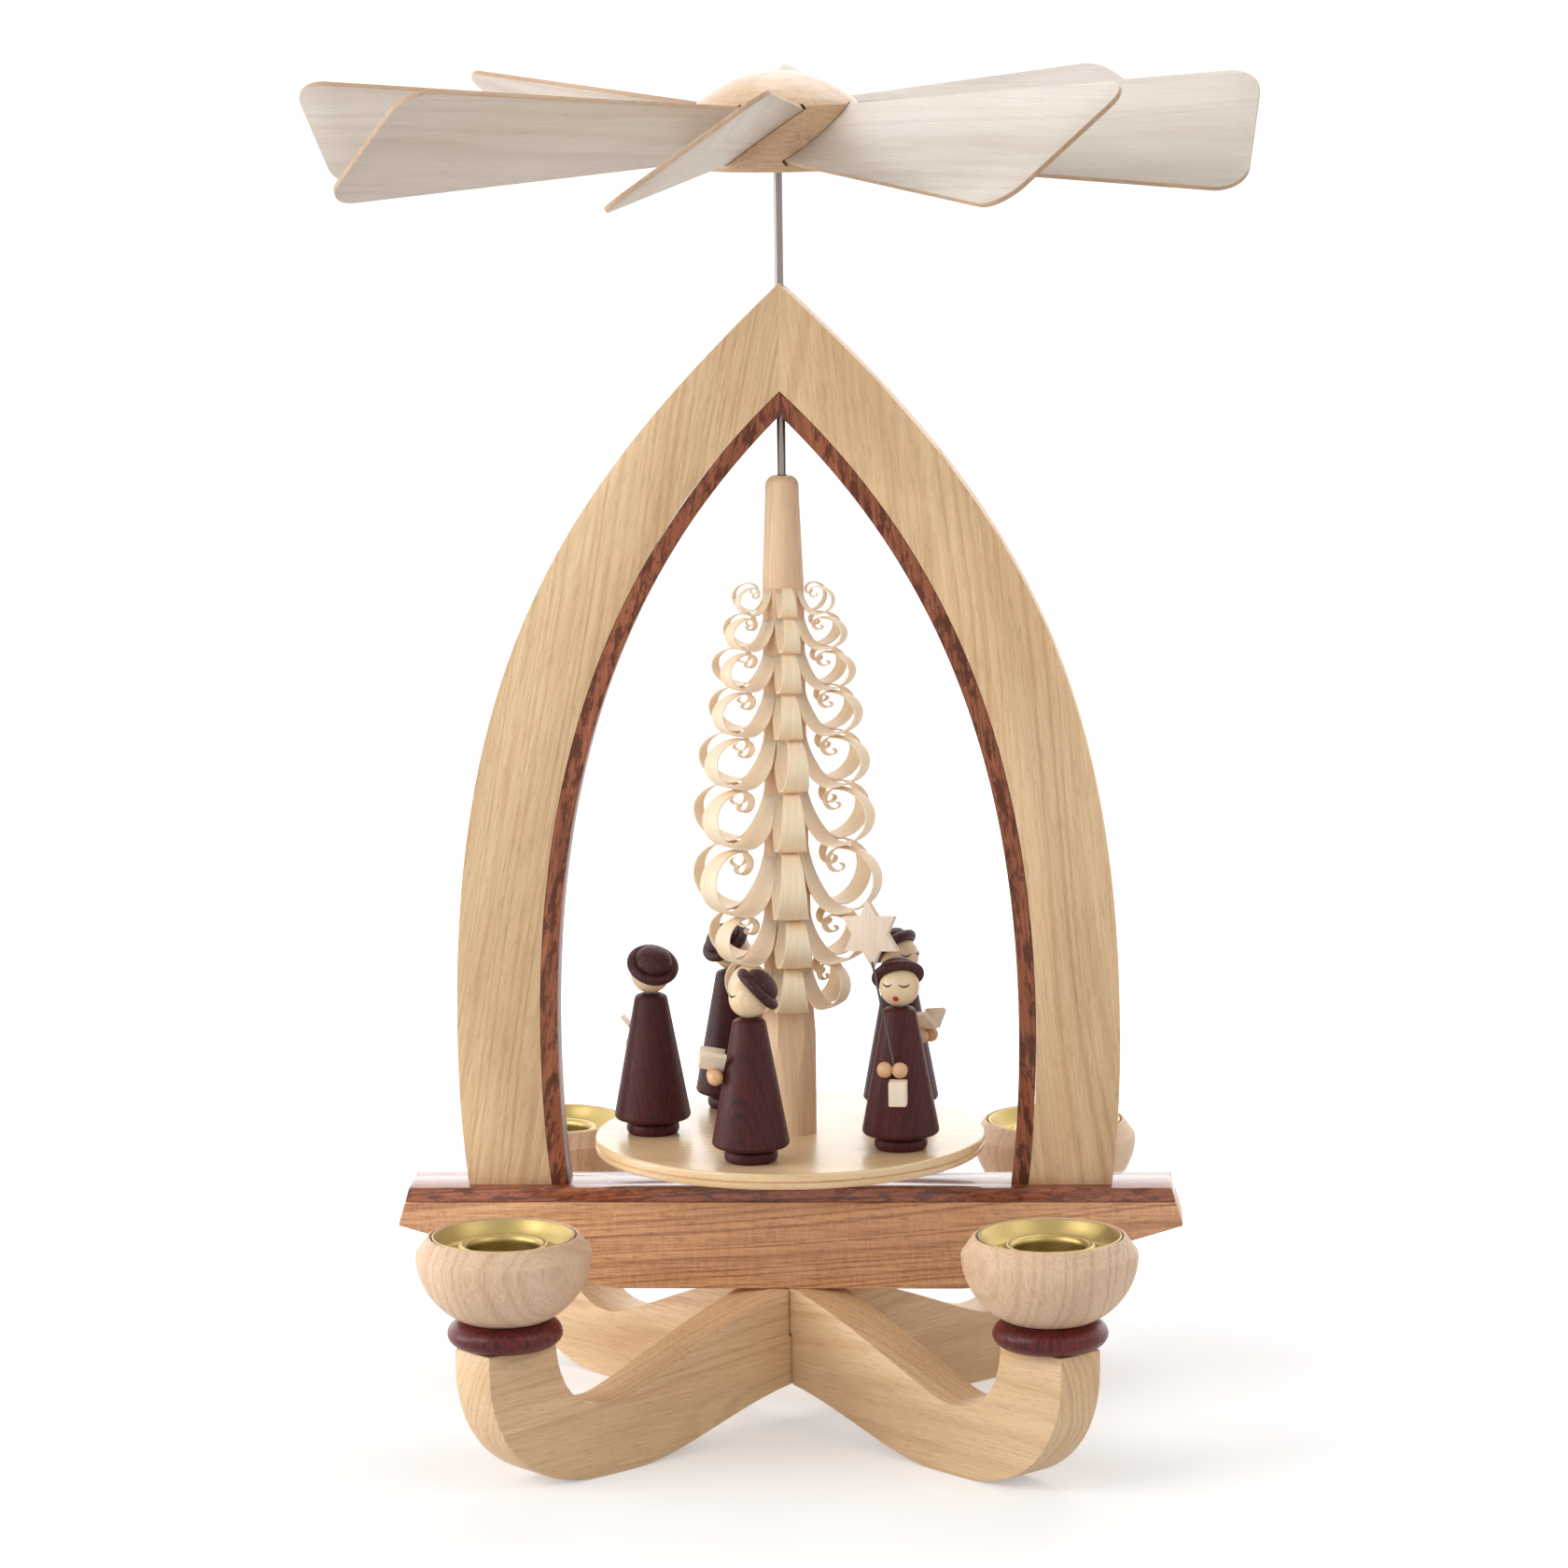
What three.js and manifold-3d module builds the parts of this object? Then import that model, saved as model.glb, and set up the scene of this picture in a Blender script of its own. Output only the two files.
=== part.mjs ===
// Christmas pyramid: a wooden carousel that the warm air of four candles turns.
// Two curved planks cross under a beam and carry a candle bowl on each of their four ends.
// A pointed arch on the beam holds the top of a steel spindle, which turns on its own point and
// carries the wing wheel, the plate, the shaving tree and five carol singers.
// Millimetres, +Z up, X along the beam, origin on the spindle's axis at the table.

import * as THREE from "three";
import { mergeVertices } from "three/addons/utils/BufferGeometryUtils.js";
import Module from "manifold-3d";

const wasm = await Module();
wasm.setup();

// Fits
const seatGap = 0.3; // room round a piece that is set into its neighbour
const glueLine = 0.12; // film of glue between the arch and its lining
const runningGap = 0.16; // room round the turning spindle in its top bush

// Cross of two planks
const plankThickness = 12.7;
const plankHeight = 34.7;
const footReach = 99; // axis to the outside of a foot, along the plank
const padLength = 20; // level end of a plank, under a candle bowl
const contactStart = 56; // the level strip that stands on the table
const contactEnd = 66;
const archRise = 11.8; // height of the hollow under the crossing
const valleyHeight = 17; // lowest point of the upper edge
const shoulderReach = 9; // half of the level top under the beam
const valleyReach = 62; // axis to the lowest point of the upper edge

// Beam and its dark top strip
const beamHeight = 24.9;
const beamDepth = 17.5;
const beamTopHalf = 91.5;
const beamTipHalf = 94.3;
const beamTipDrop = 9.4; // top of the beam to its pointed tips
const beamFlatHalf = 43; // half of the level underside
const stripThickness = 3.6;

// Arch and its dark lining
const archDepth = 10.6;
const archHeight = 215.9; // beam to the outside of the point
const archHalfWidth = 79.4;
const archWaist = 36; // height of the widest place above the beam
const archFootHalf = 77.3;
const archSlope = THREE.MathUtils.degToRad(43.4); // fall of both outlines at the point
const outerHandles = { upper: 68, lower: 93 }; // how long the outlines keep their end directions
const innerHandles = { upper: 59, lower: 62.5 };
const legWidth = 20;
const crownThickness = 25.2; // at the point, straight down
const liningThickness = 4;
const legDowelRadius = 3;
const legDowelHalf = 13;

// Candle stacks
const collarRadius = 13.4;
const collarHeight = 6.6;
const bowlRadius = 20.4;
const bowlHeight = 19.7;
const bowlRimDrop = 4; // bevel from the widest ridge up to the rim
const bowlRimRadius = 17.3;
const bowlFootRadius = 10;
const tenonRadius = 3;
const tenonDepth = 8; // how far a bowl's tenon reaches into the plank
const brassWall = 0.6;
const dishRadius = 16.6;
const dishDepth = 4;
const dishFloorRadius = 13;
const candleRadius = 8.4; // for 16 to 17 mm candles
const candleDepth = 9.5;
const beadWidth = 2.6; // rolled bead round the candle socket
const beadHeight = 2;

// Spindle, its point bearing and its top bush
const spindleRadius = 1;
const spindlePointLength = 3;
const bearingRadius = 3.5;
const bearingHeight = 8;
const bearingConeDepth = 4;
const bushWall = 1.4;
const bushLength = 20;
const crossScrewRadius = 2;
const crossScrewHeadRadius = 4;
const crossScrewGrip = 14; // length of thread in the beam
const screwHeadDepth = 3;

// Plate
const plateRadius = 46.8;
const plateThickness = 3.9;
const plateClearance = 8; // beam to the underside of the plate
const plateHubRadius = 6;
const plateHubHeight = 4.6;

// Wing wheel
const hubBottom = 302;
const hubRadius = 19;
const hubHeight = 16;
const hubDome = 7;
const spindleInHub = 10;
const wingCount = 8;
const wingPhase = THREE.MathUtils.degToRad(-7.4);
const wingPitch = THREE.MathUtils.degToRad(34.8);
const wingReach = 112.1;
const wingRootChord = 22.6;
const wingTipChord = 46.4;
const wingThickness = 1.2;
const wingCorner = 9;
const slotDepth = 5;

// Shaving tree
const treeHeight = 158.5;
const trunkFootRadius = 7.1; // to the edges between the trunk's flats
const trunkCoreRadius = 5.1;
const trunkTopRadius = 4;
const shavingColumns = 7;
const shavingPhase = THREE.MathUtils.degToRad(-86);
const shavingThickness = 0.7;
const shavingGap = 0.5; // air between one curl and the next
const topRowBottom = 125.8; // above the plate
const topRowHeight = 7.2;
const rowGrowth = 1.145;
const growingRows = 7;
const skirtRows = [{ height: 12, reach: 19, width: 8.5 }, { height: 11.3, reach: 14.6, width: 8.2 }];
const widestReach = 22.5;
const reachFall = 0.62;
const reachPower = 1.55;
const narrowShaving = 4.6;
const wideShaving = 8.8;

// Carol singers
const singerCircle = 33; // radius that they stand on
const robeBaseRadius = 6.35;
const robeBaseHeight = 3.6;
const robeHemRadius = 9.2;
const robeShoulderRadius = 4; // top of the straight taper
const robeShoulderDrop = 1.6; // rounded shoulder under the head
const headHeight = 39; // centre of the head above the plate
const headRadius = 4.75;
const hatRadius = 6.3;
const hatBrim = 2.4;
const hatSeat = 1.7; // head's centre to the underside of the brim
const crownRadius = 4.5;
const hatHeight = 5.5;
const handRadius = 1.9;
const handHeight = 20.5;
const bookLength = 6; // along its spine, which points forwards
const bookLeaf = 5; // from the spine to the edge of a leaf
const bookThickness = 1.35;
const bookSpineHalf = 0.95;
const bookSlope = THREE.MathUtils.degToRad(50); // rise of the leaves
const bookLean = THREE.MathUtils.degToRad(10); // rise of the spine
const lanternWidth = 4.2;
const lanternHeight = 5.9;
const lanternTurn = THREE.MathUtils.degToRad(8);
const starSpan = 16.6; // point to point
const starLean = THREE.MathUtils.degToRad(4.5); // in its own plane
const starTurn = THREE.MathUtils.degToRad(-16); // about the vertical
const starThickness = 1.6;
const starRise = 32.3; // of its centre above the hands
const starAside = 5.1; // of its centre to the singer's right
const staffRadius = 0.4;
const staffFootAside = 0.4; // to the singer's left
const staffBendAside = 0.8; // to the singer's right
const staffBendRise = 7;
const staffGrip = 1.8; // into the star's lowest point

// Levels that follow from the sizes above
const beamTop = plankHeight + beamHeight;
const plateBottom = beamTop + plateClearance;
const plateTop = plateBottom + plateThickness;
const apexTop = beamTop + archHeight;
const collarTop = plankHeight + collarHeight;
const bowlTop = collarTop + bowlHeight;
const padCentre = footReach - padLength / 2;

// Materials
function finish(color, roughness = 0.6, metalness = 0) {
  return new THREE.MeshStandardMaterial({ color, roughness, metalness });
}
const ash = finish(0xd8b888, 0.55);
const brownOak = finish(0xb98a5e, 0.55);
const darkWood = finish(0x74402f, 0.5);
const beech = finish(0xd9bd9e, 0.6);
const birch = finish(0xe2cda5, 0.35);
const limewood = finish(0xeed8b8, 0.7);
const wineStain = finish(0x512a2b, 0.55);
const hatStain = finish(0x3d2124, 0.6);
const paleWood = finish(0xe8d6bd, 0.7);
const brass = finish(0xb9a062, 0.3, 1);
const steel = finish(0x9a9894, 0.3, 1);

// A closed solid from any of the library's geometries
function solid(geometry) {
  const bare = geometry.index ? geometry.toNonIndexed() : geometry.clone();
  bare.deleteAttribute("normal");
  bare.deleteAttribute("uv");
  const merged = mergeVertices(bare, 1e-4);
  const corners = [];
  const index = merged.index.array;
  for (let i = 0; i < index.length; i += 3) {
    const [a, b, c] = [index[i], index[i + 1], index[i + 2]];
    if (a !== b && b !== c && c !== a) corners.push(a, b, c);
  }
  return new wasm.Manifold(
    new wasm.Mesh({
      numProp: 3,
      vertProperties: merged.attributes.position.array,
      triVerts: new Uint32Array(corners),
    }),
  );
}

// A named mesh of a finished solid
function piece(name, shape, material) {
  const { vertProperties, triVerts } = shape.getMesh();
  const geometry = new THREE.BufferGeometry();
  geometry.setAttribute("position", new THREE.BufferAttribute(vertProperties, 3));
  geometry.setIndex(new THREE.BufferAttribute(triVerts, 1));
  geometry.computeVertexNormals();
  const mesh = new THREE.Mesh(geometry, material);
  mesh.name = name;
  return mesh;
}

// A turned solid about +Z from a profile of [radius, height] points, upwards on its outside
function turned(profile, sides, turn = 0) {
  const points = profile.map(([radius, height]) => new THREE.Vector2(radius, height));
  return solid(new THREE.LatheGeometry(points, sides).rotateX(Math.PI / 2).rotateZ(turn));
}

// A round rod or drill along +Z
function rod(radius, bottom, top, sides = 16) {
  return turned([[0, bottom], [radius, bottom], [radius, top], [0, top]], sides);
}

// A board of the given thickness whose outline is drawn in the XZ plane
function board(outline, thickness) {
  const options = { depth: thickness, bevelEnabled: false, curveSegments: 10 };
  return solid(
    new THREE.ExtrudeGeometry(outline, options).translate(0, 0, -thickness / 2).rotateX(Math.PI / 2),
  );
}

function boxSolid(width, depth, height) {
  return solid(new THREE.BoxGeometry(width, depth, height));
}

// Turns and moves a solid as a three.js transform would
function placed(shape, matrix) {
  return shape.transform([...matrix.elements]);
}

function moved(shape, x, y, z) {
  return shape.translate([x, y, z]);
}

// The four ends of the cross
const quarterTurn = Math.PI / 2;
const footTurns = {
  front_left: -3 * quarterTurn / 2,
  front_right: -quarterTurn / 2,
  back_left: 3 * quarterTurn / 2,
  back_right: quarterTurn / 2,
};

const footPlace = (turn) => [padCentre * Math.cos(turn), padCentre * Math.sin(turn)];

// One plank of the cross: an S-curved foot at each end, lapped half over its partner
function crossPlank(turn, lapFromTop) {
  const half = new THREE.Shape();
  half.moveTo(0, archRise);
  half.bezierCurveTo(contactStart * 0.38, archRise * 0.9, contactStart * 0.7, 0, contactStart, 0);
  half.lineTo(contactEnd, 0);
  half.bezierCurveTo(contactEnd + 19, 0, footReach, plankHeight * 0.34, footReach, plankHeight * 0.87);
  half.lineTo(footReach, plankHeight);
  half.lineTo(footReach - padLength, plankHeight);
  const padEdge = footReach - padLength;
  half.bezierCurveTo(padEdge - 0.5, 24, valleyReach + 11, valleyHeight, valleyReach, valleyHeight);
  half.bezierCurveTo(valleyReach - 7.5, valleyHeight, 33, 28.8, shoulderReach, plankHeight);
  const rightHalf = half.getPoints(7);
  const leftHalf = rightHalf.map((p) => new THREE.Vector2(-p.x, p.y)).reverse();
  const outline = new THREE.Shape([...rightHalf, ...leftHalf.slice(0, -1)]);
  let shape = board(outline, plankThickness);

  const lapWidth = plankThickness + 2 * seatGap;
  const lapLevel = (archRise + plankHeight) / 2;
  const lap = boxSolid(lapWidth, 2 * plankThickness, plankHeight);
  const lapShift = lapFromTop ? lapLevel + plankHeight / 2 : lapLevel - plankHeight / 2 + seatGap;
  shape = shape.subtract(moved(lap, 0, 0, lapShift));
  for (const end of [-1, 1]) {
    const hole = rod(tenonRadius + seatGap, plankHeight - tenonDepth - seatGap, plankHeight + 1, 12);
    shape = shape.subtract(moved(hole, end * padCentre, 0, 0));
  }
  shape = shape.subtract(rod(crossScrewRadius + seatGap, 0, plankHeight + 1, 12));
  shape = shape.subtract(rod(crossScrewHeadRadius + seatGap, 0, archRise + screwHeadDepth + seatGap, 12));
  return placed(shape, new THREE.Matrix4().makeRotationZ(turn));
}

// Countersunk screw that holds both planks up against the beam
function crossScrew() {
  const headBottom = archRise + seatGap;
  const headTop = archRise + screwHeadDepth;
  return turned(
    [
      [0, headBottom],
      [crossScrewHeadRadius, headBottom],
      [crossScrewRadius, headTop],
      [crossScrewRadius, plankHeight + crossScrewGrip - 2],
      [0, plankHeight + crossScrewGrip],
    ],
    14,
  );
}

// Half width of the beam's slanted end at a depth below its top
const beamEnd = (depth) => beamTopHalf + (beamTipHalf - beamTopHalf) * (depth / beamTipDrop);

// The holes that go down into the beam and its strip
function beamHoles() {
  const bottom = beamTop - bearingHeight;
  let holes = rod(bearingRadius + seatGap, bottom, beamTop + 1, 14);
  for (const side of [-1, 1]) {
    const dowel = rod(legDowelRadius + seatGap, beamTop - legDowelHalf - seatGap, beamTop + 1, 12);
    holes = holes.add(moved(dowel, side * legCentre, 0, 0));
  }
  return holes;
}

const legCentre = archFootHalf - legWidth / 2;

function beam() {
  const tip = beamTop - beamTipDrop;
  const outline = new THREE.Shape();
  outline.moveTo(-beamFlatHalf + 3, plankHeight);
  outline.lineTo(beamFlatHalf - 3, plankHeight);
  outline.quadraticCurveTo(beamFlatHalf, plankHeight, beamFlatHalf + 3, plankHeight + 0.9);
  outline.lineTo(beamTipHalf, tip);
  outline.lineTo(beamEnd(stripThickness), beamTop - stripThickness);
  outline.lineTo(-beamEnd(stripThickness), beamTop - stripThickness);
  outline.lineTo(-beamTipHalf, tip);
  outline.lineTo(-beamFlatHalf - 3, plankHeight + 0.9);
  outline.quadraticCurveTo(-beamFlatHalf, plankHeight, -beamFlatHalf + 3, plankHeight);
  const pilot = rod(crossScrewRadius + seatGap, plankHeight - 1, plankHeight + crossScrewGrip + seatGap);
  return board(outline, beamDepth).subtract(beamHoles()).subtract(pilot);
}

function beamStrip() {
  const bottom = beamTop - stripThickness;
  const outline = new THREE.Shape([
    new THREE.Vector2(-beamEnd(stripThickness), bottom),
    new THREE.Vector2(beamEnd(stripThickness), bottom),
    new THREE.Vector2(beamTopHalf, beamTop),
    new THREE.Vector2(-beamTopHalf, beamTop),
  ]);
  return board(outline, beamDepth).subtract(beamHoles());
}

// One side of an outline of the arch, from its foot to its point: [x, z] as vectors
function archLine(apex, half, footHalf, handles) {
  const waist = beamTop + archWaist;
  const leg = new THREE.QuadraticBezierCurve(
    new THREE.Vector2(footHalf, beamTop),
    new THREE.Vector2(half, beamTop + archWaist * 0.45),
    new THREE.Vector2(half, waist),
  );
  const sweep = new THREE.CubicBezierCurve(
    new THREE.Vector2(half, waist),
    new THREE.Vector2(half, waist + handles.lower),
    new THREE.Vector2(handles.upper * Math.cos(archSlope), apex - handles.upper * Math.sin(archSlope)),
    new THREE.Vector2(0, apex),
  );
  return [...leg.getPoints(3), ...sweep.getPoints(14).slice(1)];
}

const outerLine = archLine(apexTop, archHalfWidth, archFootHalf, outerHandles);
const innerLine = archLine(
  apexTop - crownThickness,
  archHalfWidth - legWidth,
  archFootHalf - legWidth,
  innerHandles,
);

// The same line moved towards the opening, cut off again at the foot and at the joint
function insetLine(line, distance) {
  const shifted = line.map((point, i) => {
    const before = line[Math.max(i - 1, 0)];
    const after = line[Math.min(i + 1, line.length - 1)];
    const along = after.clone().sub(before).normalize();
    return new THREE.Vector2(point.x - along.y * distance, point.y + along.x * distance);
  });
  shifted[0].y = beamTop;
  const last = shifted.length - 1;
  const [a, b] = [shifted[last - 1], shifted[last]];
  shifted[last] = a.clone().lerp(b, a.x / (a.x - b.x)).setX(0);
  return shifted;
}

// A half of the arch or of its lining between two such lines, on the side given by its sign
function archHalf(outer, inner, side) {
  const loop = [...outer, ...[...inner].reverse()];
  return board(new THREE.Shape(loop.map((p) => new THREE.Vector2(side * p.x, p.y))), archDepth);
}

const bushTop = apexTop - 5;
const bushBottom = bushTop - bushLength;
const bushRadius = spindleRadius + runningGap + bushWall;

// The drilled way for the spindle through the point of the arch, with the seat of its bush
function apexHoles() {
  const way = rod(spindleRadius + seatGap, apexTop - 60, apexTop + 5, 10);
  return way.add(rod(bushRadius + seatGap, bushBottom - seatGap, bushTop + seatGap, 14));
}

function archLeg(side) {
  const dowel = rod(legDowelRadius + seatGap, beamTop - 1, beamTop + legDowelHalf + seatGap, 12);
  return archHalf(outerLine, innerLine, side)
    .subtract(apexHoles())
    .subtract(moved(dowel, side * legCentre, 0, 0));
}

function archLining(side) {
  const outer = insetLine(innerLine, glueLine);
  const inner = insetLine(innerLine, glueLine + liningThickness);
  return archHalf(outer, inner, side).subtract(apexHoles());
}

function spindleBush() {
  const bore = spindleRadius + runningGap;
  return turned(
    [[bore, bushBottom], [bushRadius, bushBottom], [bushRadius, bushTop], [bore, bushTop], [bore, bushBottom]],
    14,
  );
}

// Brass cup in which the point of the spindle stands
function pointBearing() {
  const top = beamTop + 0.6;
  const floor = top - bearingConeDepth;
  return turned(
    [
      [0, beamTop - bearingHeight],
      [bearingRadius, beamTop - bearingHeight],
      [bearingRadius, top],
      [2.3, top],
      [0.4, floor],
      [0, floor],
    ],
    14,
  );
}

// Convex ring that spaces a bowl from its foot, bored for the bowl's tenon
function collar() {
  const bore = tenonRadius + seatGap;
  const flat = collarRadius - collarHeight * 0.45;
  const profile = [[bore, plankHeight]];
  const bulge = 4;
  for (let i = 0; i <= bulge; i++) {
    const angle = -Math.PI / 2 + (Math.PI * i) / bulge;
    const out = flat + (collarRadius - flat) * Math.cos(angle);
    profile.push([out, plankHeight + (collarHeight / 2) * (1 + Math.sin(angle))]);
  }
  profile.push([bore, collarTop], [bore, plankHeight]);
  return turned(profile, 18);
}

const dishFloor = bowlTop - dishDepth;
const socketFloor = dishFloor - candleDepth + beadHeight;

// Turned bowl with its tenon; the inside is sunk for the brass candle cup
function bowl() {
  const ridge = bowlTop - bowlRimDrop;
  const sink = brassWall + seatGap;
  return turned(
    [
      [0, plankHeight - tenonDepth],
      [tenonRadius, plankHeight - tenonDepth],
      [tenonRadius, collarTop],
      [bowlFootRadius, collarTop],
      [bowlRadius * 0.76, collarTop + 5],
      [bowlRadius * 0.94, collarTop + 10.2],
      [bowlRadius, ridge],
      [bowlRimRadius, bowlTop],
      [dishRadius + seatGap, bowlTop - 0.6],
      [dishFloorRadius + seatGap, dishFloor - sink],
      [candleRadius + sink, dishFloor - sink],
      [candleRadius + sink, socketFloor - sink],
      [0, socketFloor - sink],
    ],
    22,
  );
}

// Pressed brass dish with a beaded socket for one candle
function candleCup() {
  const bead = candleRadius + beadWidth;
  return turned(
    [
      [0, socketFloor - brassWall],
      [candleRadius + brassWall, socketFloor - brassWall],
      [candleRadius + brassWall, dishFloor - brassWall],
      [dishFloorRadius, dishFloor - brassWall],
      [dishRadius, bowlTop - 0.7],
      [dishRadius, bowlTop],
      [dishRadius - brassWall, bowlTop],
      [dishFloorRadius - brassWall, dishFloor],
      [bead, dishFloor],
      [bead - beadWidth * 0.2, dishFloor + beadHeight * 0.8],
      [bead - beadWidth * 0.5, dishFloor + beadHeight],
      [candleRadius, dishFloor + beadHeight * 0.6],
      [candleRadius, socketFloor],
      [0, socketFloor],
    ],
    18,
  );
}

// Steel rod that stands on its point and carries all that turns
function spindle() {
  const point = beamTop + 0.6 - bearingConeDepth + seatGap;
  return turned(
    [
      [0, point],
      [0.2, point],
      [spindleRadius, point + spindlePointLength],
      [spindleRadius, hubBottom + spindleInHub],
      [0, hubBottom + spindleInHub],
    ],
    12,
  );
}

// Round plate with softened edges
function plate() {
  const bore = spindleRadius + seatGap;
  return turned(
    [
      [bore, plateBottom],
      [plateRadius - 0.8, plateBottom],
      [plateRadius, plateBottom + 0.8],
      [plateRadius, plateTop - 0.5],
      [plateRadius - 0.4, plateTop],
      [bore, plateTop],
      [bore, plateBottom],
    ],
    44,
  );
}

function plateHub() {
  const bore = spindleRadius + seatGap;
  const bottom = plateBottom - plateHubHeight;
  return turned(
    [
      [bore, bottom],
      [plateHubRadius - 2, bottom],
      [plateHubRadius, plateBottom - 2],
      [plateHubRadius, plateBottom],
      [bore, plateBottom],
      [bore, bottom],
    ],
    16,
  );
}

// Trunk of the tree: [height above the plate, radius]
const trunkOutline = [
  [0, trunkFootRadius - 0.1],
  [24.5, trunkFootRadius],
  [32, trunkFootRadius - 0.9],
  [56, trunkCoreRadius + 0.6],
  [80, trunkCoreRadius],
  [132, trunkCoreRadius - 0.15],
  [treeHeight - 4.5, trunkTopRadius],
  [treeHeight - 1.6, trunkTopRadius * 0.82],
  [treeHeight - 0.3, trunkTopRadius * 0.5],
  [treeHeight, spindleRadius + seatGap],
];

function trunkRadius(height) {
  const k = trunkOutline.findIndex(([level]) => level >= height);
  const [[z0, r0], [z1, r1]] = [trunkOutline[Math.max(k - 1, 0)], trunkOutline[Math.max(k, 1)]];
  return r0 + ((r1 - r0) * (height - z0)) / (z1 - z0);
}

// A shaving from its root to the end of its scroll, as quarter turns: shares of the curl's reach
// outwards and of its height upwards, the first one starting straight down
const quarterTurns = [
  { out: 0.36, up: -0.84, steps: 2 },
  { out: 0.64, up: 0.42, steps: 3 },
  { out: -0.33, up: 0.58, steps: 2 },
  { out: -0.24, up: -0.3, steps: 1 },
  { out: 0.16, up: -0.22, steps: 1 },
  { out: 0.12, up: 0.16, steps: 1 },
];
const taperAlong = 0.5; // share of its width that a shaving loses from its bottom to its tip

function shavingPath(row) {
  const rise = row.height - shavingThickness - shavingGap;
  const rootHeight = row.bottom - quarterTurns[0].up * rise;
  const rootRadius = trunkRadius(rootHeight) * Math.cos(Math.PI / shavingColumns) - shavingThickness;
  const span = row.reach - rootRadius;
  const start = new THREE.Vector2(rootRadius, rootHeight);
  const path = [start.clone()];
  quarterTurns.forEach(({ out, up, steps }, quarter) => {
    for (let i = 1; i <= steps; i++) {
      const angle = (quarterTurn * i) / steps;
      const [slow, quick] = [1 - Math.cos(angle), Math.sin(angle)];
      const [shareOut, shareUp] = quarter % 2 ? [quick, slow] : [slow, quick];
      path.push(new THREE.Vector2(start.x + out * span * shareOut, start.y + up * rise * shareUp));
    }
    start.copy(path[path.length - 1]);
  });
  return path;
}

// The rows of curls from the top down: each grows to the widest, then the skirt draws in
function shavingRows() {
  const rows = [];
  let bottom = topRowBottom;
  for (let i = 0; i < growingRows + skirtRows.length; i++) {
    const below = growingRows - 1 - i;
    const grown = i / (growingRows - 1);
    const row =
      below >= 0
        ? {
            height: topRowHeight * rowGrowth ** i,
            reach: widestReach - reachFall * below ** reachPower,
            width: narrowShaving + (wideShaving - narrowShaving) * grown,
          }
        : { ...skirtRows[i - growingRows] };
    if (i > 0) bottom -= row.height;
    rows.push({ ...row, bottom });
  }
  return rows;
}

// Half width of a shaving at a point of its path: it fills the room between its neighbours near
// the trunk and narrows along its scroll
function shavingHalfWidth(row, path, i) {
  const room = path[i].x * Math.tan(Math.PI / shavingColumns) - shavingGap / 2;
  const along = Math.max(0, i - quarterTurns[0].steps) / (path.length - 1 - quarterTurns[0].steps);
  return Math.min((row.width / 2) * (1 - taperAlong * along), room);
}

function shaving(row) {
  const path = shavingPath(row);
  const corners = [];
  path.forEach((point, i) => {
    const along = path[Math.min(i + 1, path.length - 1)].clone().sub(path[Math.max(i - 1, 0)]).normalize();
    const half = shavingHalfWidth(row, path, i);
    for (const [across, through] of [[-1, -1], [1, -1], [1, 1], [-1, 1]]) {
      const offset = (through * shavingThickness) / 2;
      corners.push(point.x - along.y * offset, across * half, point.y + along.x * offset);
    }
  });
  const faces = [];
  for (let i = 0; i + 1 < path.length; i++) {
    for (let k = 0; k < 4; k++) {
      const [a, b] = [4 * i + k, 4 * i + ((k + 1) % 4)];
      faces.push(a, b, b + 4, a, b + 4, a + 4);
    }
  }
  const end = 4 * (path.length - 1);
  faces.push(0, 3, 2, 0, 2, 1, end, end + 1, end + 2, end, end + 2, end + 3);
  const geometry = new THREE.BufferGeometry();
  geometry.setAttribute("position", new THREE.Float32BufferAttribute(corners, 3));
  geometry.setIndex(faces);
  return solid(geometry);
}

// Least air between a curl's own turns and between it and the curls above and beside it
function leastShavingGap(rows) {
  const outlines = rows.map((row) => {
    const path = shavingPath(row);
    return path.map((p, i) => ({ r: p.x, z: p.y, half: shavingHalfWidth(row, path, i) }));
  });
  let least = Infinity;
  const rootSteps = quarterTurns[0].steps;
  outlines.forEach((curl, i) => {
    const above = i > 0 ? outlines[i - 1] : [];
    curl.forEach((p, k) => {
      const others = [...above.slice(rootSteps), ...curl.slice(k + 4)];
      if (k >= rootSteps) {
        for (const q of others) {
          least = Math.min(least, Math.hypot(p.r - q.r, p.z - q.z) - shavingThickness);
        }
      }
      const besides = 2 * (p.r * Math.tan(Math.PI / shavingColumns) - p.half) * Math.cos(Math.PI / shavingColumns);
      least = Math.min(least, besides);
    });
  });
  return least;
}

function shavingTree() {
  const bore = spindleRadius + seatGap;
  const outline = trunkOutline.map(([height, radius]) => [radius, height]);
  const flatsTurn = shavingPhase + quarterTurn + Math.PI / shavingColumns;
  const trunk = turned([[bore, 0], ...outline, [bore, 0]], shavingColumns, flatsTurn);
  const rows = shavingRows();
  console.log("least gap between shavings " + leastShavingGap(rows).toFixed(2) + " mm");
  const shavings = [];
  for (const row of rows) {
    const curl = shaving(row);
    for (let column = 0; column < shavingColumns; column++) {
      const turn = shavingPhase + (2 * Math.PI * column) / shavingColumns;
      shavings.push(placed(curl, new THREE.Matrix4().makeRotationZ(turn)));
    }
  }
  const bored = wasm.Manifold.union([trunk, ...shavings]).subtract(rod(bore, -1, treeHeight + 1, 8));
  return moved(bored, 0, 0, plateTop);
}

const wingLevel = hubBottom + hubHeight / 2 + 0.6;

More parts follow.
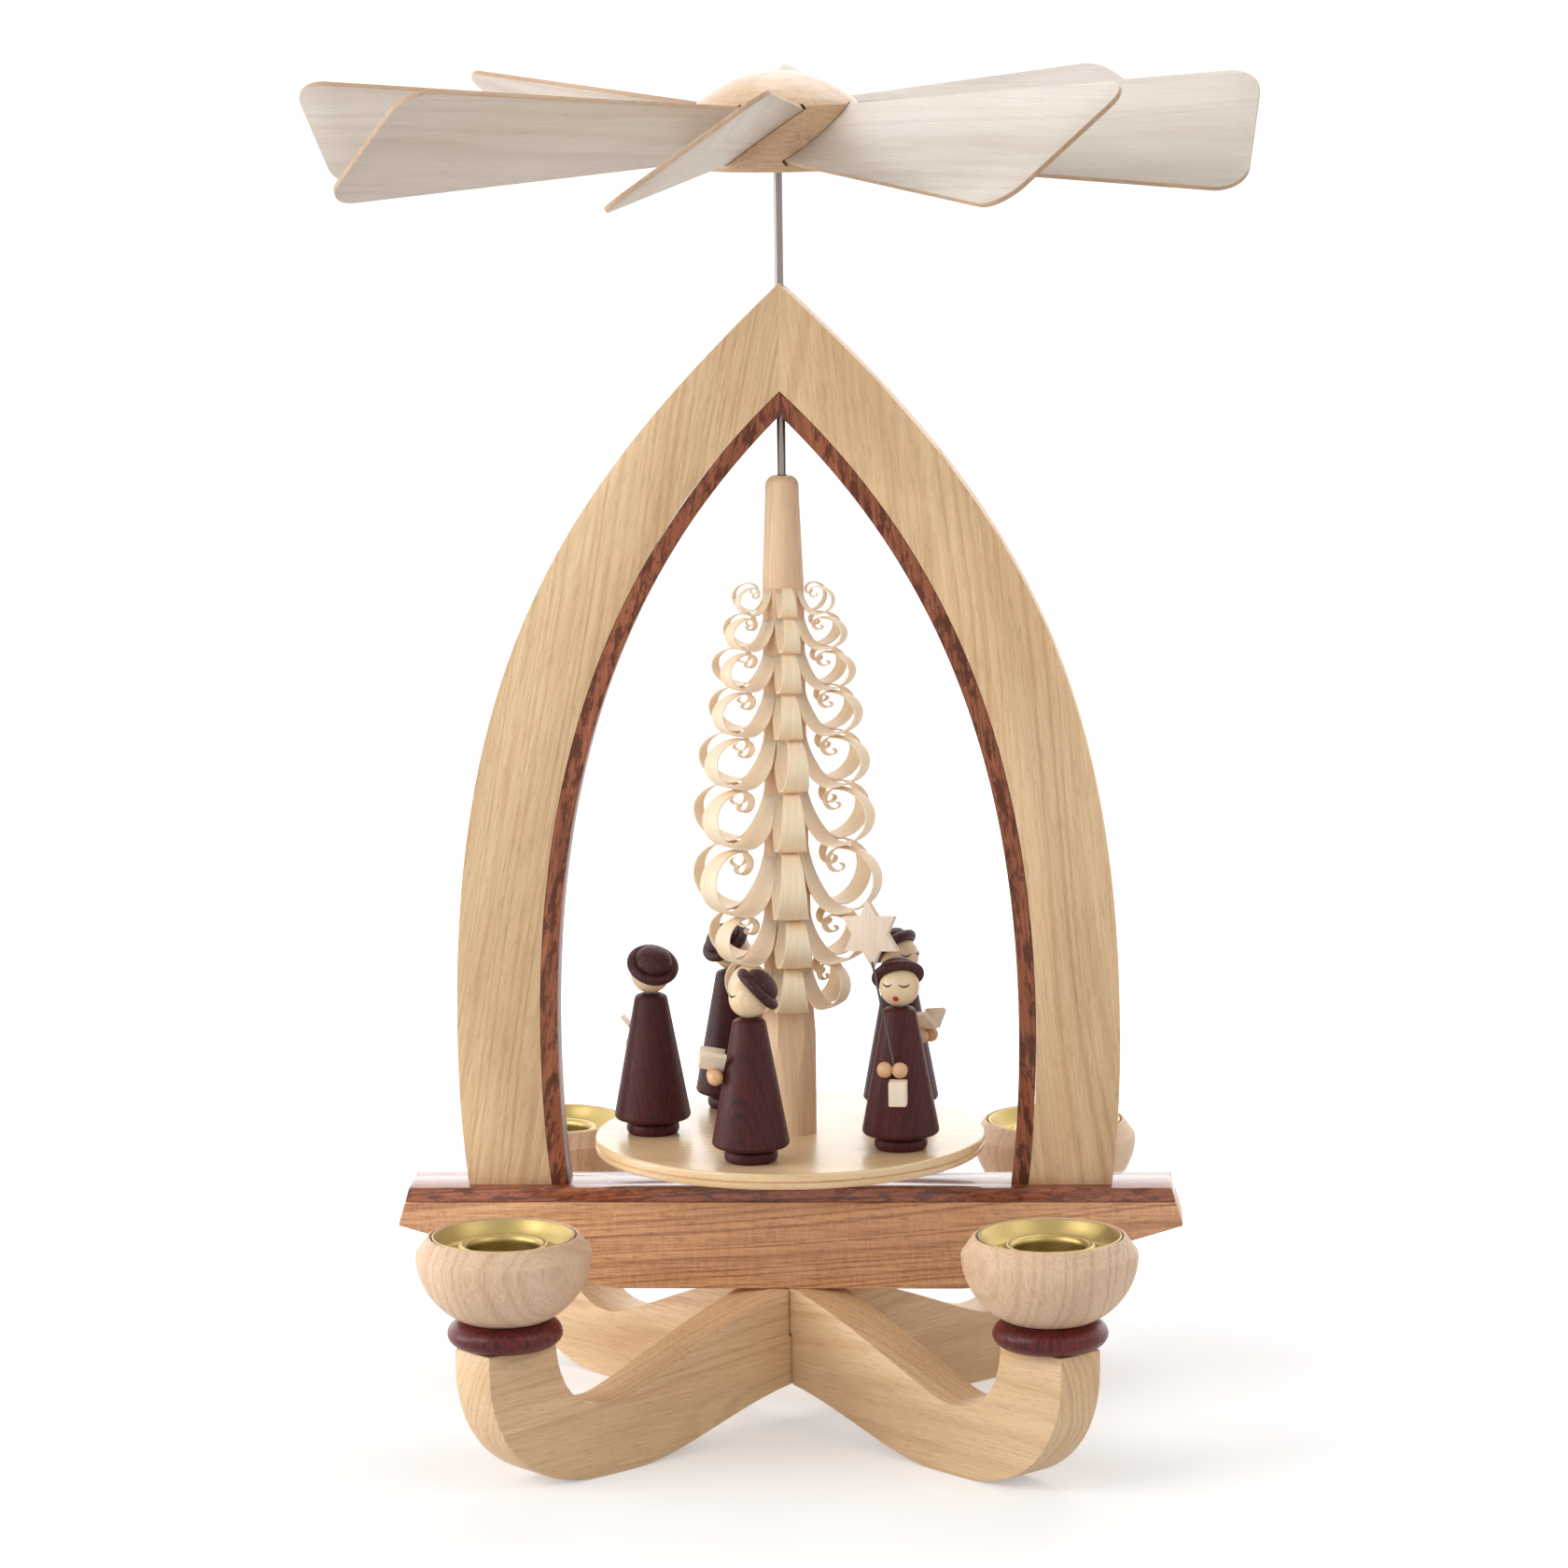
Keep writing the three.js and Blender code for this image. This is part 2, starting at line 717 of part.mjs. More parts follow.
// Places a piece that is drawn along +X into a wing's tilted place
function wingMatrix(k) {
  const turn = wingPhase + (2 * Math.PI * k) / wingCount;
  return new THREE.Matrix4()
    .makeTranslation(0, 0, wingLevel)
    .multiply(new THREE.Matrix4().makeRotationZ(turn))
    .multiply(new THREE.Matrix4().makeRotationX(wingPitch));
}

// Thin tapered board with rounded outer corners, glued in a slanted slot of the hub
function wing(k) {
  const root = hubRadius - slotDepth + seatGap;
  const halfAt = (x) => {
    const share = (x - hubRadius) / (wingReach - hubRadius);
    return (wingRootChord + (wingTipChord - wingRootChord) * share) / 2;
  };
  const outline = new THREE.Shape();
  const arcHandle = wingCorner * (1 - 0.5523); // turns a curve into a quarter circle
  const [tip, edge] = [wingReach - wingCorner, halfAt(wingReach - wingCorner)];
  const [near, end] = [wingReach - arcHandle, halfAt(wingReach)];
  outline.moveTo(root, -halfAt(root));
  outline.lineTo(tip, -edge);
  outline.bezierCurveTo(near, -end, wingReach, -end + arcHandle, wingReach, -end + wingCorner);
  outline.lineTo(wingReach, end - wingCorner);
  outline.bezierCurveTo(wingReach, end - arcHandle, near, end, tip, edge);
  outline.lineTo(root, halfAt(root));
  const options = { depth: wingThickness, bevelEnabled: false, curveSegments: 4 };
  const flat = solid(new THREE.ExtrudeGeometry(outline, options).translate(0, 0, -wingThickness / 2));
  return placed(flat, wingMatrix(k));
}

// Turned, domed hub with its slots and a blind hole for the spindle
function hub() {
  const bore = spindleRadius + seatGap;
  const rim = hubBottom + hubHeight;
  const dome = [];
  const domeSteps = 4;
  const domeHalf = hubRadius - 0.6;
  const domeSphere = (domeHalf ** 2 + hubDome ** 2) / (2 * hubDome);
  const domeAngle = Math.asin(domeHalf / domeSphere);
  for (let i = 1; i <= domeSteps; i++) {
    const angle = domeAngle * (1 - i / domeSteps);
    dome.push([domeSphere * Math.sin(angle), rim + hubDome - domeSphere * (1 - Math.cos(angle))]);
  }
  let shape = turned(
    [
      [0, hubBottom + spindleInHub + seatGap],
      [bore, hubBottom + spindleInHub + seatGap],
      [bore, hubBottom],
      [domeHalf, hubBottom],
      [hubRadius, hubBottom + 0.6],
      [hubRadius, rim - 0.6],
      [domeHalf, rim],
      ...dome,
    ],
    28,
  );
  const slot = boxSolid(2 * slotDepth, wingRootChord + 2 * seatGap, wingThickness + 2 * seatGap);
  const inward = new THREE.Matrix4().makeTranslation(hubRadius, 0, 0);
  for (let k = 0; k < wingCount; k++) {
    shape = shape.subtract(placed(slot, wingMatrix(k).multiply(inward)));
  }
  return shape;
}

const shoulderHeight = headHeight - headRadius - robeShoulderDrop;

// Robe of a singer with its turned base, dished for the head
function robe() {
  const seat = headRadius + seatGap;
  const dished = (radius) => headHeight - Math.sqrt(seat * seat - radius * radius);
  const rim = headRadius * 0.52;
  return turned(
    [
      [0, 0],
      [robeBaseRadius - 0.5, 0],
      [robeBaseRadius, 0.7],
      [robeBaseRadius, robeBaseHeight - 1],
      [robeBaseRadius - 0.7, robeBaseHeight],
      [robeHemRadius - 0.8, robeBaseHeight],
      [robeHemRadius, robeBaseHeight + 1],
      [robeShoulderRadius, shoulderHeight],
      [robeShoulderRadius * 0.88, shoulderHeight + robeShoulderDrop * 0.75],
      [rim, dished(rim)],
      [rim / 2, dished(rim / 2)],
      [0, dished(0)],
    ],
    12,
  );
}

const robeRadiusAt = (height) => {
  const share = (height - robeBaseHeight - 1) / (shoulderHeight - robeBaseHeight - 1);
  return robeHemRadius + (robeShoulderRadius - robeHemRadius) * share;
};

function ball(radius, x, y, z, around = 10, down = 7) {
  return moved(solid(new THREE.SphereGeometry(radius, around, down)), x, y, z);
}

// Beret-like hat with a thick rolled brim, hollowed to sit on the head; centred on the head
function hat() {
  const seat = headRadius + seatGap;
  const inside = [];
  const insideSteps = 3;
  const brimAngle = Math.asin(hatSeat / seat);
  for (let i = 0; i <= insideSteps; i++) {
    const angle = quarterTurn + ((brimAngle - quarterTurn) * i) / insideSteps;
    inside.push([seat * Math.cos(angle), seat * Math.sin(angle)]);
  }
  inside[0][0] = 0;
  const brimTop = hatSeat + hatBrim;
  const top = hatSeat + hatHeight;
  return turned(
    [
      ...inside,
      [hatRadius - 0.8, hatSeat],
      [hatRadius, hatSeat + hatBrim * 0.35],
      [hatRadius, hatSeat + hatBrim * 0.7],
      [hatRadius - 0.9, brimTop],
      [crownRadius, brimTop],
      [crownRadius * 0.88, top - 1.2],
      [crownRadius * 0.5, top - 0.2],
      [0, top],
    ],
    12,
  );
}

const handSpread = handRadius - 0.08; // the balls are glued to each other
const handReach = Math.sqrt((robeRadiusAt(handHeight) + handRadius + 0.3) ** 2 - handSpread ** 2);

const bookSunk = 0.4; // how deep the glued spine sits between the hands

// End of an open book, seen along its spine: two thick leaves that rise to both sides
function bookOutline() {
  const [run, rise] = [Math.cos(bookSlope), Math.sin(bookSlope)];
  const edge = new THREE.Vector2(bookSpineHalf + bookLeaf * run, bookLeaf * rise);
  const inner = new THREE.Vector2(edge.x - bookThickness * rise, edge.y + bookThickness * run);
  const outline = new THREE.Shape();
  outline.moveTo(-bookSpineHalf, 0);
  outline.lineTo(bookSpineHalf, 0);
  outline.lineTo(edge.x, edge.y);
  outline.lineTo(inner.x, inner.y);
  outline.lineTo(0, inner.y - (inner.x * rise) / run);
  outline.lineTo(-inner.x, inner.y);
  outline.lineTo(-edge.x, edge.y);
  return outline;
}

// Two wooden balls for hands in front of the robe, holding an open song book or nothing
function hands(withBook) {
  const left = ball(handRadius, handReach, handSpread, handHeight, 8, 6);
  const right = ball(handRadius, handReach, -handSpread, handHeight, 8, 6);
  const pair = left.add(right);
  if (!withBook) return pair;
  const rest = handHeight + handRadius - bookSunk;
  const toBack = handReach - robeRadiusAt(rest) - seatGap;
  const options = { depth: bookLength, bevelEnabled: false };
  const drawn = new THREE.ExtrudeGeometry(bookOutline(), options).translate(0, 0, -toBack);
  const upright = drawn.rotateY(quarterTurn).rotateX(quarterTurn);
  const book = solid(upright.rotateY(-bookLean));
  return pair.add(moved(book, handReach, 0, rest));
}

// Square lantern under the left hand, just clear of the flaring robe
function lantern() {
  const top = handHeight - handRadius - seatGap / 2;
  const bottom = top - lanternHeight;
  const half = (lanternWidth / 2) * (Math.cos(lanternTurn) + Math.sin(lanternTurn));
  const reach = robeRadiusAt(bottom) + half + seatGap;
  const block = boxSolid(lanternWidth, lanternWidth, lanternHeight);
  const turn = new THREE.Matrix4().makeRotationZ(lanternTurn);
  return moved(placed(block, turn), reach, handSpread, (top + bottom) / 2);
}

// Six-pointed star on a bent wire that rises from between the hands
function starStaff() {
  const front = starThickness / 2 + staffRadius / 2;
  const below = starSpan / 2 - staffGrip;
  const places = [
    [staffFootAside, handRadius],
    [-staffBendAside, staffBendRise],
    [below * Math.sin(starLean) - starAside, starRise - below * Math.cos(starLean)],
  ];
  const route = places.map(
    ([left, above]) => new THREE.Vector3(handReach, left, handHeight + above),
  );
  const section = new THREE.Shape();
  section.absarc(0, 0, staffRadius, 0, 2 * Math.PI, false);
  const extrudePath = new THREE.CatmullRomCurve3(route);
  const wireOptions = { steps: 8, bevelEnabled: false, extrudePath, curveSegments: 3 };
  const wire = solid(new THREE.ExtrudeGeometry(section, wireOptions));
  const outline = new THREE.Shape();
  const points = 6;
  for (let i = 0; i < 2 * points; i++) {
    const angle = (Math.PI * i) / points + quarterTurn + starLean;
    const reach = (starSpan / 2) * (i % 2 ? Math.tan(Math.PI / points) : 1);
    const [x, y] = [reach * Math.cos(angle), reach * Math.sin(angle)];
    if (i) outline.lineTo(x, y);
    else outline.moveTo(x, y);
  }
  const flat = new THREE.ExtrudeGeometry(outline, { depth: starThickness, bevelEnabled: false });
  const centred = flat.translate(0, 0, -starThickness / 2);
  const star = solid(centred.rotateX(quarterTurn).rotateZ(quarterTurn + starTurn));
  return wire.add(moved(star, handReach - front, -starAside, handHeight + starRise));
}

// Each singer stands at its place on the circle and faces along its heading, both in degrees;
// its hat leans back and a little to one side
const singers = [
  { name: "star_singer", place: -34, heading: -101, hatTilt: 40, hatSwing: 24, holds: "star" },
  { name: "back_right_singer", place: 38, heading: -40, hatTilt: 40, hatSwing: 6, holds: "book" },
  { name: "back_left_singer", place: 118, heading: 48, hatTilt: 40, hatSwing: -8, holds: "book" },
  { name: "left_singer", place: 182, heading: 113, hatTilt: 38, hatSwing: 0, holds: "book" },
  { name: "front_left_singer", place: 257, heading: 187, hatTilt: 46, hatSwing: 0, holds: "book" },
];

function singerMeshes(singer) {
  const { degToRad } = THREE.MathUtils;
  const place = degToRad(singer.place);
  const stand = new THREE.Matrix4()
    .makeTranslation(singerCircle * Math.cos(place), singerCircle * Math.sin(place), plateTop)
    .multiply(new THREE.Matrix4().makeRotationZ(degToRad(singer.heading)));
  const lean = new THREE.Matrix4()
    .makeTranslation(0, 0, headHeight)
    .multiply(new THREE.Matrix4().makeRotationZ(degToRad(singer.hatSwing)))
    .multiply(new THREE.Matrix4().makeRotationY(degToRad(-singer.hatTilt)));
  const meshes = [
    piece(singer.name + "_robe", placed(robe(), stand), wineStain),
    piece(singer.name + "_head", placed(ball(headRadius, 0, 0, headHeight), stand), paleWood),
    piece(singer.name + "_hat", placed(hat(), stand.clone().multiply(lean)), hatStain),
  ];
  if (singer.holds === "book") {
    meshes.push(piece(singer.name + "_hands_and_book", placed(hands(true), stand), paleWood));
  } else {
    meshes.push(piece(singer.name + "_hands", placed(hands(false), stand), paleWood));
    meshes.push(piece(singer.name + "_lantern", placed(lantern(), stand), paleWood));
    meshes.push(piece(singer.name + "_star_staff", placed(starStaff(), stand), paleWood));
  }
  return meshes;
}

// The frame that stands still
const stand = new THREE.Group();
stand.add(
  piece("cross_plank_lower", crossPlank(footTurns.back_right, true), ash),
  piece("cross_plank_upper", crossPlank(footTurns.front_right, false), ash),
  piece("cross_screw", crossScrew(), steel),
  piece("beam", beam(), brownOak),
  piece("beam_top_strip", beamStrip(), darkWood),
  piece("arch_left", archLeg(-1), ash),
  piece("arch_right", archLeg(1), ash),
  piece("arch_lining_left", archLining(-1), darkWood),
  piece("arch_lining_right", archLining(1), darkWood),
  piece("spindle_bush", spindleBush(), brass),
  piece("point_bearing", pointBearing(), brass),
);
for (const [side, sign] of [["left", -1], ["right", 1]]) {
  const dowel = rod(legDowelRadius, beamTop - legDowelHalf, beamTop + legDowelHalf, 14);
  stand.add(piece("leg_dowel_" + side, moved(dowel, sign * legCentre, 0, 0), beech));
}
for (const [corner, turn] of Object.entries(footTurns)) {
  const [x, y] = footPlace(turn);
  stand.add(
    piece("collar_" + corner, moved(collar(), x, y, 0), wineStain),
    piece("bowl_" + corner, moved(bowl(), x, y, 0), beech),
    piece("candle_cup_" + corner, moved(candleCup(), x, y, 0), brass),
  );
}

// All that turns with the spindle
const carousel = new THREE.Group();
carousel.add(
  piece("spindle", spindle(), steel),
  piece("plate", plate(), birch),
  piece("plate_hub", plateHub(), beech),
  piece("shaving_tree", shavingTree(), limewood),
  piece("wing_hub", hub(), beech),
);
for (let k = 0; k < wingCount; k++) carousel.add(piece("wing_" + (k + 1), wing(k), paleWood));
for (const singer of singers) carousel.add(...singerMeshes(singer));

const pyramid = new THREE.Group();
pyramid.add(stand, carousel);

export default pyramid;
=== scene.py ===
# Wooden Christmas carousel: a pointed arch and four candle bowls on a cross of two planks, and inside
# the arch a turning spindle with its wing wheel, plate, shaving tree and five carol singers.
# Metres, +Z up, X along the beam; the spindle's axis is the Z axis and the table is at zero.
import math
import random

import bpy
from mathutils import Matrix, Vector
from mathutils.geometry import interpolate_bezier


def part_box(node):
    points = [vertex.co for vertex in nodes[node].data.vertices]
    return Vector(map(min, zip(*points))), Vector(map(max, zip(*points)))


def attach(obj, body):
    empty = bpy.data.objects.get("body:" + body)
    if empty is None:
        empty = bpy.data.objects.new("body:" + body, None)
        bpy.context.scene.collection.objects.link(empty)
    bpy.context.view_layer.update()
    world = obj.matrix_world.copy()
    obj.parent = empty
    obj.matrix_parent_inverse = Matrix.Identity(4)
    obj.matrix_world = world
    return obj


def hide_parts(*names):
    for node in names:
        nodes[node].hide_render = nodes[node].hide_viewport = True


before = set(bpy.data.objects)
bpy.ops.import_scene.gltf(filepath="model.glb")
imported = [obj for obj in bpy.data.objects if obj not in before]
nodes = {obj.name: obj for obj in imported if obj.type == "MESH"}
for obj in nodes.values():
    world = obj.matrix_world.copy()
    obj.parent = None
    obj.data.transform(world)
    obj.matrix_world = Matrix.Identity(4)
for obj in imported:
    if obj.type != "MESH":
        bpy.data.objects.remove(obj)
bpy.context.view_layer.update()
mm = 0.001
lot = random.Random(24)

# Camera at the height of the arch's point, far back and slightly to the right, where the photograph
# was taken from.
distance, height, eye_turn = 1.3193, 0.3617, 0.0574
swing, look_down, lean = 0.0577, 0.1546, -0.0129
photo_px, focal_px = 1680, 5999.9
level = Vector((math.cos(swing), math.sin(swing), 0))
ahead = Vector((-math.sin(swing), math.cos(swing), 0))
forward = ahead * math.cos(look_down) - Vector((0, 0, math.sin(look_down)))
upward = level.cross(forward)
across = level * math.cos(lean) + upward * math.sin(lean)
upright = upward * math.cos(lean) - level * math.sin(lean)
bpy.ops.object.camera_add()
camera = bpy.context.object
eye = Vector((distance * math.sin(eye_turn), -distance * math.cos(eye_turn), height))
camera.matrix_world = Matrix.Translation(eye) @ Matrix((across, upright, -forward)).transposed().to_4x4()
camera.data.sensor_width = 36
camera.data.lens = camera.data.sensor_width * focal_px / photo_px
camera.data.clip_end = 50
bpy.context.scene.camera = camera
bpy.context.scene.view_settings.view_transform = "Standard"

# Studio: soft white sky, four large lamps and a pale floor that keeps the shadow. To the camera the
# sky is plain white, and reflections show a backdrop behind the object that is brighter than white.
sky_level, backdrop_glare = 0.52, 1.3
bpy.context.scene.world = bpy.data.worlds.new("studio_sky")
bpy.context.scene.world.use_nodes = True


def add(tree, kind, sockets=None, **settings):
    """A shader node with its settings, and its sockets linked or set."""
    node = tree.nodes.new("ShaderNode" + kind)
    for key, value in settings.items():
        setattr(node, key, value)
    for key, value in (sockets or {}).items():
        if isinstance(value, bpy.types.NodeSocket):
            tree.links.new(value, node.inputs[key])
        else:
            node.inputs[key].default_value = value
    return node


def shade(red, green, blue):
    """A colour as it is seen on a screen, 0 to 255, in the linear values that the nodes take."""
    linear = []
    for level in (red, green, blue):
        part = level / 255
        linear.append(part / 12.92 if part <= 0.04045 else ((part + 0.055) / 1.055) ** 2.4)
    return (*linear, 1)


def ranged(tree, value, low, high, within=(0.3, 0.7)):
    """The value carried over from the range within two limits to the one from low to high."""
    limits = {"Value": value, "From Min": within[0], "From Max": within[1], "To Min": low, "To Max": high}
    return add(tree, "MapRange", limits).outputs[0]


def total(tree, first, *others, operation="ADD"):
    """All the values joined by one kind of sum."""
    for other in others:
        first = add(tree, "Math", {0: first, 1: other}, operation=operation).outputs[0]
    return first


def blend(tree, share, first, second):
    """A colour between two others."""
    mix = {"Factor": share, 6: first, 7: second}
    return add(tree, "Mix", mix, data_type="RGBA").outputs[2]


def dimmed(colour, share):
    """The same colour with less light."""
    return tuple(share * part for part in colour[:3]) + (1,)


def white_to_the_eye(tree):
    """1 for rays from the camera, a mirror or a glass, 0 for the rays that light the object."""
    rays = add(tree, "LightPath").outputs
    kinds = [rays[f"Is {kind} Ray"] for kind in ("Camera", "Glossy", "Transmission")]
    return total(tree, *kinds, operation="MAXIMUM")


sky = bpy.context.scene.world.node_tree
plain = ranged(sky, white_to_the_eye(sky), sky_level, 1, (0, 1))
behind = add(sky, "SeparateXYZ", {0: add(sky, "TexCoord").outputs["Generated"]}).outputs["Y"]
backdrop = ranged(sky, behind, 0, backdrop_glare, (-0.2, 0.8))
mirrored = add(sky, "LightPath").outputs["Is Glossy Ray"]
brightness = total(sky, plain, total(sky, mirrored, backdrop, operation="MULTIPLY"))
sky.nodes["Background"].inputs["Color"].default_value = (1, 1, 1, 1)
sky.links.new(brightness, sky.nodes["Background"].inputs["Strength"])

for place, size, power in [
    ((-1.2, -0.9, 0.9), 0.9, 10.8),
    ((-1.5, -0.1, 0.25), 0.8, 10.5),
    ((1.1, -0.7, 0.9), 0.9, 3.4),
    ((0.2, 0.8, 1.4), 1.0, 6.5),
]:
    bpy.ops.object.light_add(type="AREA", location=place)
    lamp = bpy.context.object
    lamp.data.size, lamp.data.energy = size, power
    lamp.rotation_euler = (Vector((0, 0, 0.16)) - Vector(place)).to_track_quat("-Z", "Y").to_euler()

bpy.ops.mesh.primitive_plane_add(size=60)
floor = bpy.context.object
floor.name = "studio_floor"
floor_paper = bpy.data.materials.new("floor_paper")
floor_paper.use_nodes = True
paper = floor_paper.node_tree
speckle = add(paper, "TexNoise", {"Scale": 400.0}).outputs[0]
lit = add(paper, "BsdfDiffuse", {"Color": ranged(paper, speckle, 0.74, 0.76, (0, 1))})
spot = add(paper, "TexCoord").outputs["Object"]
from_middle = add(paper, "VectorMath", {0: spot}, operation="LENGTH").outputs["Value"]
afar = {"Value": from_middle, "From Min": 0.11, "From Max": 0.3, "To Min": 0.36, "To Max": 0.76}
brightness = add(paper, "MapRange", afar, interpolation_type="SMOOTHSTEP").outputs[0]
glow_level = total(paper, white_to_the_eye(paper), brightness, operation="MULTIPLY")
glow = add(paper, "Emission", {"Strength": glow_level})
both = add(paper, "AddShader", {0: lit.outputs[0], 1: glow.outputs[0]})
paper.links.new(both.outputs[0], paper.nodes["Material Output"].inputs["Surface"])
floor.data.materials.append(floor_paper)

# Cross of two ash planks, band-sawn to an S towards each foot and halved over each other in the
# middle. A countersunk screw from below holds them to the beam.
plank_thick = 12.7 * mm
plank_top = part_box("cross_plank_lower")[1].z
foot_reach, pad_length = 99 * mm, 20 * mm
contact_start, contact_end, heel_pull = 56 * mm, 66 * mm, 19 * mm
arch_rise, valley_height, valley_reach = 11.8 * mm, 17 * mm, 62 * mm
shoulder_reach, inner_pull, crest_pull = 9 * mm, (78.5 * mm, 24 * mm), (33 * mm, 28.8 * mm)
screw_head_hole, screw_head_depth, screw_hole = 4.3 * mm, 15.1 * mm, 2.3 * mm
tenon, tenon_depth, fit = 3 * mm, 8 * mm, 0.3 * mm
pad_centre, tenon_end = foot_reach - pad_length / 2, plank_top - tenon_depth


def bend(line, pull, second_pull, end, steps=12):
    """Carries a line of (x, z) points on in a smooth bow to its new end."""
    ends = [Vector(point) for point in (line[-1], pull, second_pull, end)]
    line += [tuple(point) for point in interpolate_bezier(*ends, steps + 1)[1:]]


def both_sides(half):
    """The outline of a board from its right half, whose points on the middle line stay single."""
    return half + [(-x, z) for x, z in reversed(half) if x]


def sawn_board(name, outline, thickness):
    """A board cut out along (x, z) points, its thickness along Y."""
    bpy.ops.object.select_all(action="DESELECT")
    bpy.ops.mesh.primitive_circle_add(vertices=len(outline), fill_type="NGON")
    board = bpy.context.object
    board.name = board.data.name = name
    for vertex, (x, z) in zip(board.data.vertices, outline):
        vertex.co = (x, -thickness / 2, z)
    bpy.ops.object.mode_set(mode="EDIT")
    bpy.ops.mesh.select_all(action="SELECT")
    bpy.ops.mesh.extrude_region_move(TRANSFORM_OT_translate={"value": (0, thickness, 0)})
    bpy.ops.mesh.select_all(action="SELECT")
    bpy.ops.mesh.normals_make_consistent(inside=False)
    bpy.ops.object.mode_set(mode="OBJECT")
    return board


def choose(piece):
    """Makes a piece the only selected and the active one."""
    bpy.ops.object.select_all(action="DESELECT")
    piece.select_set(True)
    bpy.context.view_layer.objects.active = piece


def paint(piece, *finishes, use=0):
    """Gives a piece its materials, with all its faces in the one of that number."""
    for finish in finishes:
        piece.data.materials.append(finish)
    for face in piece.data.polygons:
        face.material_index = use


def apply_modifier(piece, kind, **settings):
    """Adds a modifier with its settings and makes its result the mesh."""
    choose(piece)
    bpy.ops.object.modifier_add(type=kind)
    modifier = piece.modifiers[-1]
    for key, value in settings.items():
        setattr(modifier, key, value)
    bpy.ops.object.modifier_apply(modifier=modifier.name)


def soften(piece, width, segments=2):
    """Breaks the sharp edges, as sandpaper does, and shades the round ones smooth."""
    sharp = {"limit_method": "ANGLE", "angle_limit": math.radians(35)}
    apply_modifier(piece, "BEVEL", width=width, segments=segments, **sharp)
    bpy.ops.object.shade_smooth_by_angle(angle=math.radians(40))


def cut_out(piece, cutter):
    """Takes the cutter's shape out of a piece and the cutter out of the scene."""
    apply_modifier(piece, "BOOLEAN", operation="DIFFERENCE", solver="EXACT", object=cutter)
    bpy.data.objects.remove(cutter)


def block(size, place):
    """A plain block, to be cut with or shaped further."""
    bpy.ops.object.select_all(action="DESELECT")
    bpy.ops.mesh.primitive_cube_add(size=1, location=place, scale=size)
    return bpy.context.object


def drill(radius, bottom, top, place=(0, 0)):
    """The shape of an upright round hole between two heights."""
    bpy.ops.object.select_all(action="DESELECT")
    middle = (place[0], place[1], (bottom + top) / 2)
    bpy.ops.mesh.primitive_cylinder_add(vertices=48, radius=radius, depth=top - bottom, location=middle)
    return bpy.context.object


def keep_grain(piece, start=(0, 0, 0), lay=Matrix()):
    """Remembers where each point lies in the wood, with X along its grain, before the piece is placed."""
    attributes = piece.data.attributes
    grain = attributes.get("grain") or attributes.new("grain", "FLOAT_VECTOR", "POINT")
    spots = []
    for vertex in piece.data.vertices:
        spots.extend(lay @ vertex.co + Vector(start))
    grain.data.foreach_set("vector", spots)


def spin(degrees, axis="Z"):
    """A turn about that axis."""
    return Matrix.Rotation(math.radians(degrees), 4, axis)


def shift(x=0, y=0, z=0):
    """A move along the axes."""
    return Matrix.Translation((x, y, z))


def set_down(piece, placing):
    """Moves a finished piece to its place, which then lies in its mesh."""
    piece.data.transform(placing)
    piece.data.update()


def noise(tree, lies, size, stretch=(1, 1, 1), **more):
    """Noise with grains of that size, drawn out along each axis by the stretch."""
    drawn = {"Vector": lies, "Scale": tuple(1 / part for part in stretch)}
    spots = add(tree, "Mapping", drawn).outputs[0]
    return add(tree, "TexNoise", {"Vector": spots, "Scale": 1 / size, **more}).outputs[0]


# Every board is cut a little way off the pith and nearly along it.
pith_place, pith_way = (0, 0.06, 0.035), (0.998, 0.03, 0.055)


